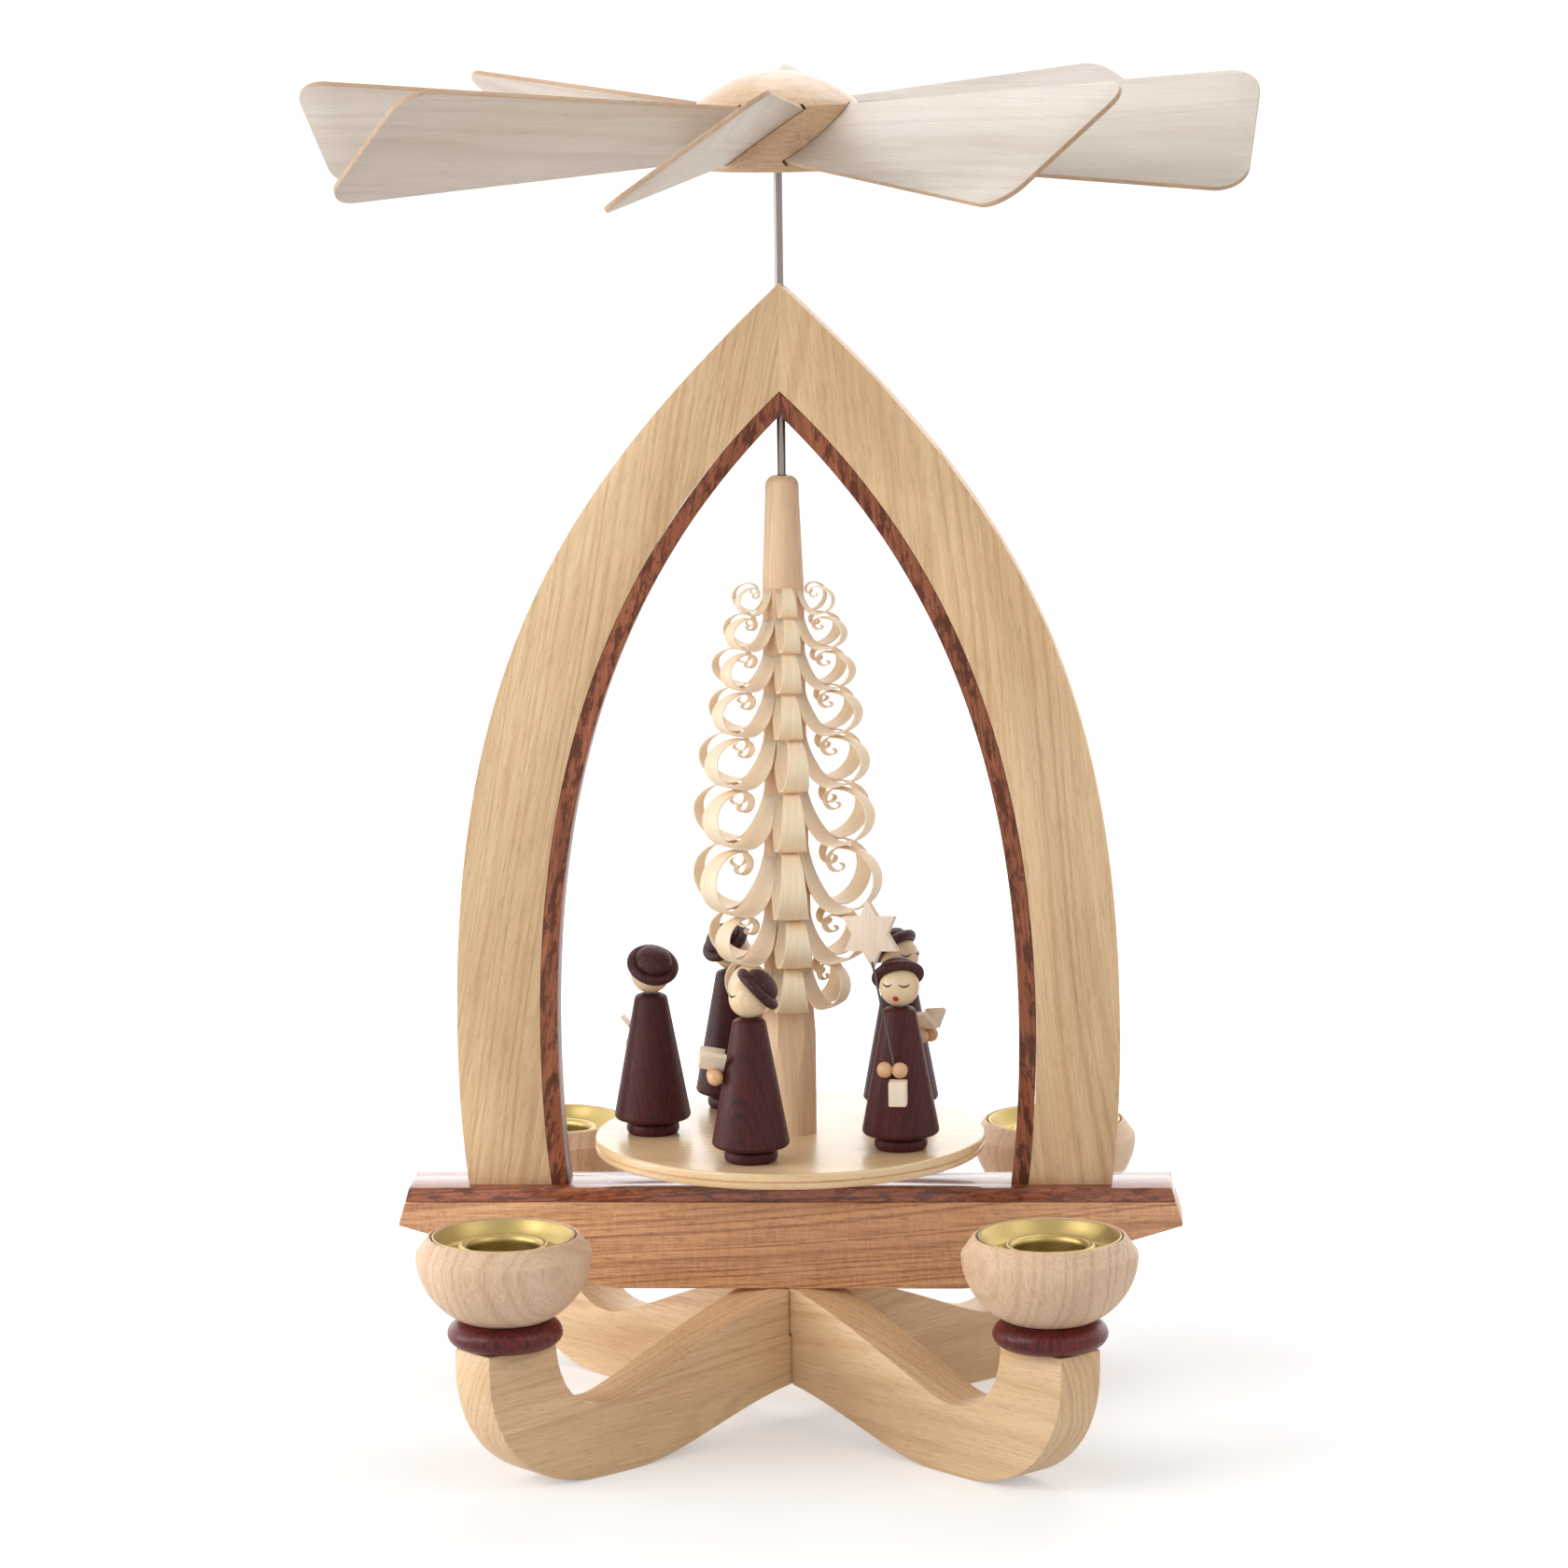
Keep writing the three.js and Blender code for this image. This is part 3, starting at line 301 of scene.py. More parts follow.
def wood(
    name, pale, deep, line, contrast, gloss, lacquer=0, streaks=0.25, flecks=0,
    patches=0, patch_size=1.5 * mm, rays=0, shine=0.5, own_grain=True,
):
    """Wood in two colours, with year lines that far apart round a distant pith, fibres and dark marks."""
    pale, deep = shade(*pale), shade(*deep)
    material = bpy.data.materials.new(name)
    material.use_nodes = True
    tree = material.node_tree
    shader = tree.nodes["Principled BSDF"]
    if own_grain:
        lies = add(tree, "Attribute", attribute_name="grain").outputs["Vector"]
    else:
        lies = add(tree, "TexCoord").outputs["Object"]
    from_pith = add(tree, "VectorMath", {0: lies, 1: pith_place}, operation="ADD").outputs[0]
    aside = add(tree, "VectorMath", {0: from_pith, 1: pith_way}, operation="CROSS_PRODUCT").outputs[0]
    distance = add(tree, "VectorMath", {0: aside}, operation="LENGTH").outputs["Value"]
    wavy = ranged(tree, noise(tree, lies, 26 * mm, (6, 1, 1), Detail=1.0), -1.1 * line, 1.1 * line)
    ring = total(tree, distance, wavy)
    across_rings = {"W": ring, "Scale": 0.4 / line, "Detail": 1.0}
    uneven = add(tree, "TexNoise", across_rings, noise_dimensions="1D").outputs[0]
    turns = total(tree, ring, 2 * math.pi / line, operation="MULTIPLY")
    phase = total(tree, turns, ranged(tree, uneven, -3.5, 3.5))
    wave = add(tree, "Math", {0: phase}, operation="SINE").outputs[0]
    strength = ranged(tree, uneven, 0.9 * contrast, 0.35 * contrast)
    year = total(tree, ranged(tree, wave, -0.32, 0.68, (0, 1)), strength, operation="MULTIPLY")
    fibre = noise(tree, lies, 0.45 * mm, (40, 1, 1), Detail=3.0, Roughness=0.65)
    cloud = noise(tree, lies, 16 * mm, (4, 1, 1), Detail=2.0)
    tones = [0.5, ranged(tree, fibre, -streaks, streaks), ranged(tree, cloud, -0.22, 0.22)]
    if rays:
        tones.append(ranged(tree, noise(tree, lies, 0.5 * mm, (1, 1, 5), Detail=1.0), -rays, rays))
    darkness = total(tree, year, *tones)
    dash = noise(tree, lies, 0.6 * mm, (6, 1, 1), Detail=1.0)
    dark_marks = ranged(tree, dash, 0, flecks, (0.57, 0.68))
    if patches:
        patch = noise(tree, lies, patch_size, (3.5, 1, 1), Detail=4.0, Roughness=0.7)
        patch = ranged(tree, patch, 0, patches, (0.5, 0.57))
        dark_marks = total(tree, dark_marks, patch, operation="MAXIMUM")
    surface = blend(tree, dark_marks, blend(tree, darkness, pale, deep), dimmed(deep, 0.42))
    tree.links.new(surface, shader.inputs["Base Color"])
    tree.links.new(ranged(tree, fibre, gloss - 0.05, gloss + 0.07), shader.inputs["Roughness"])
    relief = add(tree, "Bump", {"Height": darkness, "Strength": 0.2, "Distance": 0.0001})
    tree.links.new(relief.outputs[0], shader.inputs["Normal"])
    shader.inputs["Specular IOR Level"].default_value = shine
    shader.inputs["Coat Weight"].default_value = lacquer
    shader.inputs["Coat Roughness"].default_value = 0.14
    return material


plank_half = [(0, arch_rise)]
bend(plank_half, (0.38 * contact_start, 0.9 * arch_rise), (0.7 * contact_start, 0), (contact_start, 0))
plank_half += [(contact_end, 0)]
foot_side = (foot_reach, 0.87 * plank_top)
bend(plank_half, (contact_end + heel_pull, 0), (foot_reach, 0.34 * plank_top), foot_side, 16)
plank_half += [(foot_reach, plank_top), (foot_reach - pad_length, plank_top)]
valley = (valley_reach, valley_height)
bend(plank_half, inner_pull, (valley_reach + 11 * mm, valley_height), valley)
plank_shoulder = (shoulder_reach, plank_top)
bend(plank_half, (valley_reach - 7.5 * mm, valley_height), crest_pull, plank_shoulder, 16)
lap_level = (arch_rise + plank_top) / 2
smooth = {"lacquer": 0.1, "streaks": 0.28, "flecks": 0.16}
ash = wood("ash", (238, 206, 163), (204, 162, 116), 2 * mm, 0.5, 0.5, **smooth)

for name, turn, lap_shift in [("lower", 45, plank_top / 2), ("upper", -45, fit - plank_top / 2)]:
    plank = sawn_board("plank_" + name, both_sides(plank_half), plank_thick)
    lap = (plank_thick + 2 * fit, 2 * plank_thick, plank_top)
    cut_out(plank, block(lap, (0, 0, lap_level + lap_shift)))
    cut_out(plank, drill(screw_head_hole, -mm, screw_head_depth))
    cut_out(plank, drill(screw_hole, 0, plank_top + mm))
    for end in (-1, 1):
        cut_out(plank, drill(tenon + fit, tenon_end - fit, plank_top + mm, (end * pad_centre, 0)))
    soften(plank, 0.35 * mm)
    keep_grain(plank, (lot.random(), 0.004 * turn / 45, 0))
    set_down(plank, spin(turn))
    paint(plank, ash)
    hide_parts("cross_plank_" + name)
    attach(plank, "stand")

# Beam of a browner wood with slanted ends that run to a point, and a thin dark strip glued along its
# top. The arch's legs and the spindle's brass bearing are let into both.
beam_low, beam_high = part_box("beam_top_strip")
beam_top, beam_depth, strip_thick = beam_high.z, beam_high.y - beam_low.y, beam_high.z - beam_low.z
beam_top_half, beam_tip_half, tip_drop, flat_half = 91.5 * mm, 94.3 * mm, 9.4 * mm, 43 * mm
bearing_hole, bearing_depth = 3.8 * mm, 8 * mm


def beam_end(depth):
    """How far the slanted end reaches at that depth under the beam's top."""
    return beam_top_half + (beam_tip_half - beam_top_half) * depth / tip_drop


beam_half = [(flat_half - 3 * mm, plank_top)]
corner = (flat_half, plank_top)
bend(beam_half, corner, corner, (flat_half + 3 * mm, plank_top + 0.9 * mm), 5)
beam_half += [(beam_tip_half, beam_top - tip_drop), (beam_end(strip_thick), beam_top - strip_thick)]
strip_half = [(beam_end(strip_thick), beam_top - strip_thick), (beam_top_half, beam_top)]
brown = {"lacquer": 0.2, "streaks": 0.3, "flecks": 0.3, "rays": 0.1, "shine": 0.35}
brown_wood = wood("brown_wood", (238, 184, 136), (170, 114, 80), 1.7 * mm, 0.66, 0.45, **brown)
mottled = {"lacquer": 0.8, "streaks": 0.4, "flecks": 0.6, "patches": 0.7, "shine": 0.1}
strip_wood = wood("strip_wood", (184, 108, 72), (118, 62, 44), 1.6 * mm, 0.7, 0.4, **mottled)
for name, half, node, finish, slot in [
    ("beam_body", beam_half, "beam", brown_wood, "brown_wood"),
    ("beam_strip", strip_half, "beam_top_strip", strip_wood, "dark_wood"),
]:
    board = sawn_board(name, both_sides(half), beam_depth)
    cut_out(board, drill(bearing_hole, beam_top - bearing_depth, beam_top + mm))
    soften(board, 0.4 * mm)
    keep_grain(board, (lot.random(), 0.01, 0.02))
    paint(board, finish)
    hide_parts(node)
    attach(board, "stand")

# Pointed arch of pale ash in two mirrored halves that meet in a mitre at the point, each cut from a
# straight plank along its slope, and a dark lining glued round the inside of each.
arch_depth = 10.6 * mm
apex_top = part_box("arch_left")[1].z
arch_half_width, arch_foot_half, leg_width = 79.4 * mm, 77.3 * mm, 20 * mm
waist, crown_thick, arch_slope = 36 * mm, 25.2 * mm, math.radians(43.4)
outer_pulls, inner_pulls = (68 * mm, 93 * mm), (59 * mm, 62.5 * mm)
glue, lining_thick, rod_hole = 0.12 * mm, 4 * mm, 1.3 * mm


def arch_line(apex, half, foot_half, upper_pull, lower_pull):
    """One side of an outline of the arch, from its foot to its point."""
    foot, widest = (foot_half, beam_top), (half, beam_top + waist)
    knee = beam_top + 0.45 * waist
    pulls = [(foot_half + (half - foot_half) * 2 / 3, beam_top + (knee - beam_top) * 2 / 3)]
    pulls += [(half, widest[1] + (knee - widest[1]) * 2 / 3)]
    last_pull = (upper_pull * math.cos(arch_slope), apex - upper_pull * math.sin(arch_slope))
    leg, crown = [foot], [widest]
    bend(leg, *pulls, widest, 8)
    bend(crown, (half, widest[1] + lower_pull), last_pull, (0, apex), 40)
    return leg + crown[1:]


def inset(line, distance):
    """The same line moved into the opening, ending at the foot's level and at the joint."""
    moved = []
    for i, (x, z) in enumerate(line):
        before, after = Vector(line[max(i - 1, 0)]), Vector(line[min(i + 1, len(line) - 1)])
        along = (after - before).normalized()
        moved.append((x - along.y * distance, z + along.x * distance))
    moved[0] = (moved[0][0], beam_top)
    (x1, z1), (x2, z2) = moved[-2], moved[-1]
    moved[-1] = (0, z1 + (z2 - z1) * x1 / (x1 - x2))
    return moved


outer_line = arch_line(apex_top, arch_half_width, arch_foot_half, *outer_pulls)
opening = (apex_top - crown_thick, arch_half_width - leg_width, arch_foot_half - leg_width)
inner_line = arch_line(*opening, *inner_pulls)
lining_outside, lining_inside = inset(inner_line, glue), inset(inner_line, glue + lining_thick)
mottled.update(lacquer=0.2, patch_size=2.2 * mm, patches=0.85)
lining_wood = wood("lining_wood", (174, 108, 76), (124, 68, 48), 4 * mm, 0.35, 0.45, **mottled)
for side, sign, grain_lean in [("left", -1, -13), ("right", 1, 6)]:
    for part, outside, inside, finish, slot in [
        ("arch_", outer_line, inner_line, ash, "ash"),
        ("arch_lining_", lining_outside, lining_inside, lining_wood, "dark_wood"),
    ]:
        loop = [(sign * x, z) for x, z in outside + inside[::-1]]
        board = sawn_board(part.replace("arch", "bow") + side, loop, arch_depth)
        cut_out(board, drill(rod_hole, beam_top, apex_top + 5 * mm))
        soften(board, 0.35 * mm)
        keep_grain(board, (lot.random(), 0.02, 0.01 * sign), spin(90 + grain_lean, "Y"))
        paint(board, finish)
        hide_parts(part + side)
        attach(board, "stand")

# Dowels under the arch's legs, the screw under the cross and the spindle's brass bearings, which
# hardly show, keep their own shapes.
brass = bpy.data.materials.new("brass")
steel = bpy.data.materials.new("steel")
dark_wire = bpy.data.materials.new("dark_wire")
for material, colour, gloss in [
    (brass, shade(182, 159, 102), 0.36),
    (steel, shade(138, 130, 124), 0.3),
    (dark_wire, shade(92, 84, 82), 0.4),
]:
    material.use_nodes = True
    tree = material.node_tree
    metal = tree.nodes["Principled BSDF"]
    metal.inputs["Metallic"].default_value = 1
    lies = add(tree, "TexCoord").outputs["Object"]
    smudge = add(tree, "TexNoise", {"Vector": lies, "Scale": 300.0, "Detail": 4.0}).outputs[0]
    tree.links.new(blend(tree, smudge, dimmed(colour, 0.88), colour), metal.inputs["Base Color"])
    tree.links.new(ranged(tree, smudge, gloss - 0.07, gloss + 0.12, (0, 1)), metal.inputs["Roughness"])
    dimples = add(tree, "Bump", {"Height": smudge, "Strength": 0.08, "Distance": 0.0002})
    tree.links.new(dimples.outputs[0], metal.inputs["Normal"])
dowel_wood = wood("dowel_wood", (224, 190, 152), (196, 154, 114), 1.6 * mm, 0.4, 0.5, own_grain=False)
for name, finish in [
    ("cross_screw", steel),
    ("spindle_bush", brass),
    ("point_bearing", brass),
    ("leg_dowel_left", dowel_wood),
    ("leg_dowel_right", dowel_wood),
]:
    nodes[name].data.materials.clear()
    paint(nodes[name], finish)

# Candle stacks on the four feet: a wine-red turned collar, a beech bowl with a bevelled rim whose
# tenon goes down through the collar into the plank, and a pressed brass cup for the candle.
collar_radius, collar_height, collar_round = 13.4 * mm, 6.6 * mm, 4.4 * mm
bowl_radius, bowl_height, bowl_foot = 20.4 * mm, 19.7 * mm, 10 * mm
rim_drop, rim_radius = 4 * mm, 17.3 * mm
collar_top = plank_top + collar_height
bowl_top = collar_top + bowl_height
brass_wall, dish_radius, dish_depth, dish_floor_radius = 0.6 * mm, 16.6 * mm, 4 * mm, 13 * mm
candle_radius, candle_depth, bead_width, bead_height = 8.4 * mm, 9.5 * mm, 2.6 * mm, 2 * mm
dish_floor = bowl_top - dish_depth
socket_floor = dish_floor - candle_depth + bead_height


def arc(centre, radius, start, end, steps, height=None):
    """Points of a round stretch of a profile, or an oval one of that height, by its angles in degrees."""
    height = height or radius
    points = []
    for i in range(steps + 1):
        angle = math.radians(start + (end - start) * i / steps)
        points.append((centre[0] + radius * math.cos(angle), centre[1] + height * math.sin(angle)))
    return points


def turned_piece(name, profile, steps=72, crease=40):
    """A piece turned on a lathe about Z from (radius, height) points, sharp at corners past the crease."""
    bpy.ops.object.select_all(action="DESELECT")
    bpy.ops.mesh.primitive_plane_add(size=mm)
    piece = bpy.context.object
    piece.name = piece.data.name = name
    bpy.ops.object.mode_set(mode="EDIT")
    bpy.ops.mesh.select_all(action="SELECT")
    bpy.ops.mesh.merge(type="CENTER")
    bpy.ops.transform.translate(value=(profile[0][0], 0, profile[0][1]))
    for (radius, level), (next_radius, next_level) in zip(profile, profile[1:]):
        step = (next_radius - radius, 0, next_level - level)
        bpy.ops.mesh.extrude_region_move(TRANSFORM_OT_translate={"value": step})
    bpy.ops.mesh.select_all(action="SELECT")
    bpy.ops.mesh.spin(steps=steps, angle=2 * math.pi, center=(0, 0, 0), axis=(0, 0, 1))
    bpy.ops.mesh.select_all(action="SELECT")
    bpy.ops.mesh.remove_doubles(threshold=0.002 * mm)
    bpy.ops.mesh.normals_make_consistent(inside=False)
    bpy.ops.object.mode_set(mode="OBJECT")
    bpy.ops.object.shade_smooth_by_angle(angle=math.radians(crease))
    return piece


def copy_of(piece, name):
    """A copy of a piece with a mesh of its own."""
    twin = piece.copy()
    twin.data = piece.data.copy()
    twin.name = twin.data.name = name
    bpy.context.scene.collection.objects.link(twin)
    return twin


bulge = collar_height / 2
collar_profile = [(tenon + fit, plank_top)]
collar_profile += arc((collar_radius - collar_round, plank_top + bulge), collar_round, -90, 90, 14, bulge)
collar_profile += [(tenon + fit, collar_top), (tenon + fit, plank_top)]

ridge = bowl_top - rim_drop
sink = brass_wall + fit
socket_radius, socket_level = candle_radius + sink, socket_floor - sink
belly_pulls = (0.8 * bowl_radius, collar_top + 2.6 * mm), (bowl_radius, collar_top + 9 * mm)
bowl_profile = [(0, tenon_end), (tenon, tenon_end), (tenon, collar_top), (bowl_foot, collar_top)]
bend(bowl_profile, *belly_pulls, (bowl_radius, ridge - 0.5 * mm), 14)
bowl_profile += [(bowl_radius - 0.12 * mm, ridge + 0.12 * mm)]
bowl_profile += [(rim_radius + 0.4 * mm, bowl_top - 0.25 * mm), (rim_radius, bowl_top)]
bowl_profile += [(dish_radius + 0.55 * mm, bowl_top), (dish_radius + fit, bowl_top - 0.6 * mm)]
bowl_profile += [(dish_floor_radius + fit, dish_floor - sink), (socket_radius, dish_floor - sink)]
bowl_profile += [(socket_radius, socket_level), (0, socket_level)]

bead, cup_outside, lip = candle_radius + bead_width / 2, candle_radius + brass_wall, 0.3 * mm
under_socket, under_dish = socket_floor - brass_wall, dish_floor - brass_wall
outside_pulls = (dish_floor_radius + 1.6 * mm, under_dish), (dish_radius - mm, bowl_top - 1.6 * mm)
inside_pulls = (dish_radius - 1.6 * mm, bowl_top - 1.8 * mm), (dish_floor_radius + mm, dish_floor)
cup_profile = [(0, under_socket), (cup_outside, under_socket), (cup_outside, under_dish)]
cup_profile += [(dish_floor_radius, under_dish)]
bend(cup_profile, *outside_pulls, (dish_radius - 0.1 * mm, bowl_top - 0.5 * mm), 8)
cup_profile += arc((dish_radius - lip, bowl_top - lip), lip, -40, 160, 6)
bend(cup_profile, *inside_pulls, (dish_floor_radius - 0.4 * mm, dish_floor), 8)
cup_profile += arc((bead, dish_floor + 0.3 * mm), bead_width / 2, -10, 190, 12, bead_height - 0.3 * mm)
cup_profile += [(candle_radius, dish_floor - mm), (candle_radius, socket_floor + 0.8 * mm)]
cup_profile += [(candle_radius - 0.8 * mm, socket_floor), (0, socket_floor)]

stained = {"lacquer": 0.15, "streaks": 0.5, "flecks": 0.2, "shine": 0.2}
collar_wood = wood("collar_wood", (122, 42, 38), (62, 18, 20), 1.8 * mm, 0.4, 0.36, **stained)
matt = {"streaks": 0.3, "flecks": 0.18}
bowl_wood = wood("bowl_wood", (236, 206, 176), (204, 165, 132), 3.4 * mm, 0.5, 0.52, **matt)
stacks = [
    ("collar_", turned_piece("collar", collar_profile), collar_wood, "wine_stain"),
    ("bowl_", turned_piece("bowl", bowl_profile, 96, 14), bowl_wood, "beech"),
    ("candle_cup_", turned_piece("candle_cup", cup_profile, 96), brass, "brass"),
]
feet = {"front_left": 225, "front_right": 315, "back_left": 135, "back_right": 45}
standing = spin(90, "Y")
for part, master, finish, slot in stacks:
    paint(master, finish)
    for corner_name, bearing in feet.items():
        twin = copy_of(master, "turned_" + part + corner_name)
        lay = standing @ spin(lot.uniform(0, 180))
        keep_grain(twin, (lot.random(), 0.05 * lot.random(), 0.03 * lot.random()), lay)
        turn = math.radians(bearing)
        set_down(twin, shift(pad_centre * math.cos(turn), pad_centre * math.sin(turn)))
        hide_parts(part + corner_name)
        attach(twin, "stand")
    bpy.data.objects.remove(master)

# Steel spindle that stands on its point in the beam and turns in the point of the arch, and the round
# plywood plate on it, two layers with a fine groove between them, over a small turned hub.
rod_low, rod_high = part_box("spindle")
rod_radius, point_radius, point_height = 1 * mm, 0.2 * mm, 3 * mm
rod_profile = [(0, rod_low.z), (point_radius, rod_low.z), (rod_radius, rod_low.z + point_height)]
rod_profile += [(rod_radius, rod_high.z), (0, rod_high.z)]
spindle = turned_piece("steel_rod", rod_profile, 32)
paint(spindle, steel)
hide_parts("spindle")
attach(spindle, "carousel")

plate_low, plate_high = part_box("plate")
plate_radius, plate_bottom, plate_top = plate_high.x, plate_low.z, plate_high.z
lower_round, upper_round, groove_half, groove_depth = 0.9 * mm, 0.7 * mm, 0.25 * mm, 0.45 * mm
groove = plate_bottom + 0.47 * (plate_top - plate_bottom)
bore = rod_radius + fit
plate_profile = [(bore, plate_bottom), (plate_radius - lower_round, plate_bottom)]
plate_profile += arc((plate_radius - lower_round, plate_bottom + lower_round), lower_round, -60, 0, 4)
plate_profile += [(plate_radius, groove - groove_half), (plate_radius - groove_depth, groove)]
plate_profile += [(plate_radius, groove + groove_half)]
plate_profile += arc((plate_radius - upper_round, plate_top - upper_round), upper_round, 0, 90, 5)
plate_profile += [(bore, plate_top), (bore, plate_bottom)]
plate = turned_piece("round_plate", plate_profile, 160)
plate_wood = wood("plate_wood", (242, 212, 168), (220, 180, 130), 5 * mm, 0.4, 0.3, lacquer=0.4, flecks=0.1)
plate_wood.node_tree.nodes["Principled BSDF"].inputs["Coat Roughness"].default_value = 0.24
keep_grain(plate, (0.3, 0.02, 0.03), spin(12))
paint(plate, plate_wood)
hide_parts("plate")
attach(plate, "carousel")

hub_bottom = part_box("plate_hub")[0].z
boss_radius, boss_round, round_height = 6 * mm, 2 * mm, 2.4 * mm
boss_edge = boss_radius - boss_round
boss_profile = [(bore, hub_bottom), (boss_edge, hub_bottom)]
boss_profile += arc((boss_edge, hub_bottom + round_height), boss_round, -80, 0, 6, round_height)
boss_profile += [(boss_radius, plate_bottom), (bore, plate_bottom), (bore, hub_bottom)]
boss = turned_piece("plate_boss", boss_profile, 48)
keep_grain(boss, (0.7, 0.01, 0.02), standing)
paint(boss, bowl_wood)
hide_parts("plate_hub")
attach(boss, "carousel")

# Shaving tree of lime wood: a knife peels nine rows of thin shavings in six columns down a turned
# stick, and each shaving hangs in a loop and rolls its narrowing tip into a small open scroll.
tree_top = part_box("shaving_tree")[1].z - plate_top
foot_radius, core_radius, tip_radius = 6.5 * mm, 5.1 * mm, 4 * mm
tip_round, tip_height = 2.4 * mm, 2.6 * mm
knife_in, knife_bend, knife_out = 132 * mm, 30 * mm, 11 * mm
columns, first_column = 6, -81
shaving_thick, shaving_gap, narrowing = 0.34 * mm, 0.25 * mm, 0.83
trunk_outline = [
    (0, foot_radius - 0.1 * mm),
    (24.5 * mm, foot_radius),
    (32 * mm, foot_radius - 0.6 * mm),
    (56 * mm, core_radius + 0.5 * mm),
    (80 * mm, core_radius),
    (knife_in, core_radius - 0.15 * mm),
    (tree_top - 4.5 * mm, tip_radius),
]
# How far each quarter turn goes outwards and upwards, as shares of the shaving's reach and height.
quarter_turns = [(0.52, -1.36), (0.48, 0.53), (-0.45, 0.47), (-0.21, -0.22), (0.11, -0.16), (0.1, 0.08)]
quarter_turns += [(-0.05, 0.045)]
quarter_steps = [12, 10, 10, 8, 7, 6, 4]


def trunk_radius(level):
    """How thick the turned stick is at that level, before the knife."""
    for (low, radius), (high, next_radius) in zip(trunk_outline, trunk_outline[1:]):
        if level <= high:
            return radius + (next_radius - radius) * (level - low) / (high - low)
    return tip_radius


def flat_radius(level):
    """How far from the axis the knife's flats lie at that level."""
    return trunk_radius(level) * math.cos(math.pi / columns)


def shaving_path(bottom, height, reach):
    """A shaving seen from its side, from its root on the trunk to the end of its scroll."""
    rise = height - shaving_thick - shaving_gap
    root_level = bottom - quarter_turns[0][1] * rise
    root = flat_radius(root_level) - 0.4 * mm
    span = reach - root
    path = [Vector((root, root_level))]
    for quarter, ((out, up), steps) in enumerate(zip(quarter_turns, quarter_steps)):
        start = path[-1].copy()
        for i in range(1, steps + 1):
            angle = math.pi / 2 * i / steps
            slow, quick = 1 - math.cos(angle), math.sin(angle)
            share_out, share_up = (quick, slow) if quarter % 2 else (slow, quick)
            path.append(start + Vector((out * span * share_out, up * rise * share_up)))
    return path


def shaving(bottom, height, reach, width, sway):
    """One thin curled shaving in the XZ plane, as wide as its room allows, with its tip swayed aside."""
    path = shaving_path(bottom, height, reach)
    bpy.ops.object.select_all(action="DESELECT")
    bpy.ops.mesh.primitive_grid_add(x_subdivisions=2, y_subdivisions=len(path) - 1)
    ribbon = bpy.context.object
    per_row = len(ribbon.data.vertices) // len(path)
    lengths = [0]
    for before, point in zip(path, path[1:]):
        lengths.append(lengths[-1] + (point - before).length)
    lowest = lengths[quarter_steps[0]]
    spots = []
    for i, point in enumerate(path):
        before, after = path[max(i - 1, 0)], path[min(i + 1, len(path) - 1)]
        along = (after - before).normalized()
        share = max(0, lengths[i] - lowest) / (lengths[-1] - lowest)
        room = point.x * math.tan(math.pi / columns) - 0.15 * mm
        half = min(width / 2 * (1 - narrowing * share), room)
        for k in range(per_row):
            side = 2 * k / (per_row - 1) - 1
            cup = 0.04 * half * (1 - side * side)
            vertex = ribbon.data.vertices[i * per_row + k]
            vertex.co = (point.x + along.y * cup, side * half + sway * share**2, point.y - along.x * cup)
            spots.extend((lengths[i], side * half, 0))
    grain = ribbon.data.attributes.new("grain", "FLOAT_VECTOR", "POINT")
    grain.data.foreach_set("vector", spots)
    apply_modifier(ribbon, "SOLIDIFY", thickness=shaving_thick, offset=0)
    bpy.ops.object.shade_smooth_by_angle(angle=math.radians(50))
    return ribbon


stick_profile = [(bore, 0)] + [(radius, level) for level, radius in trunk_outline]
stick_profile += arc((tip_radius - tip_round, tree_top - tip_height), tip_round, 0, 90, 8, tip_height)
stick_profile += [(bore, tree_top), (bore, 0)]
tree_piece = turned_piece("lime_tree", stick_profile, 84)
flats = [
    (knife_out, foot_radius - 0.05 * mm, knife_bend, flat_radius(knife_bend)),
    (knife_bend - mm, flat_radius(knife_bend - mm), knife_in, flat_radius(knife_in)),
]
for column in range(columns):
    for low_level, low_radius, high_level, high_radius in flats:
        length = high_level - low_level
        knife = block((4 * mm, 12 * mm, length), (2 * mm, 0, length / 2))
        slope = Matrix.Rotation(math.atan2(high_radius - low_radius, length), 4, "Y")
        edge = shift(low_radius, 0, low_level) @ slope
        knife.matrix_world = spin(first_column + 360 * column / columns) @ edge @ knife.matrix_world
        bpy.context.view_layer.update()
        cut_out(tree_piece, knife)
choose(tree_piece)
bpy.ops.object.shade_smooth_by_angle(angle=math.radians(22))
keep_grain(tree_piece, (0.1, 0.01, 0.02), standing)
stick_wood = wood("stick_wood", (244, 216, 182), (214, 172, 130), 2.6 * mm, 0.3, 0.55, streaks=0.22)
shaving_wood = wood("shaving_wood", (254, 234, 210), (240, 208, 172), 1.8 * mm, 0.2, 0.5, streaks=0.35)
thin = shaving_wood.node_tree.nodes["Principled BSDF"]
thin.inputs["Subsurface Weight"].default_value = 0.5
thin.inputs["Subsurface Radius"].default_value = (1.0, 0.7, 0.5)
thin.inputs["Subsurface Scale"].default_value = 1.2 * mm
paint(tree_piece, stick_wood, shaving_wood)

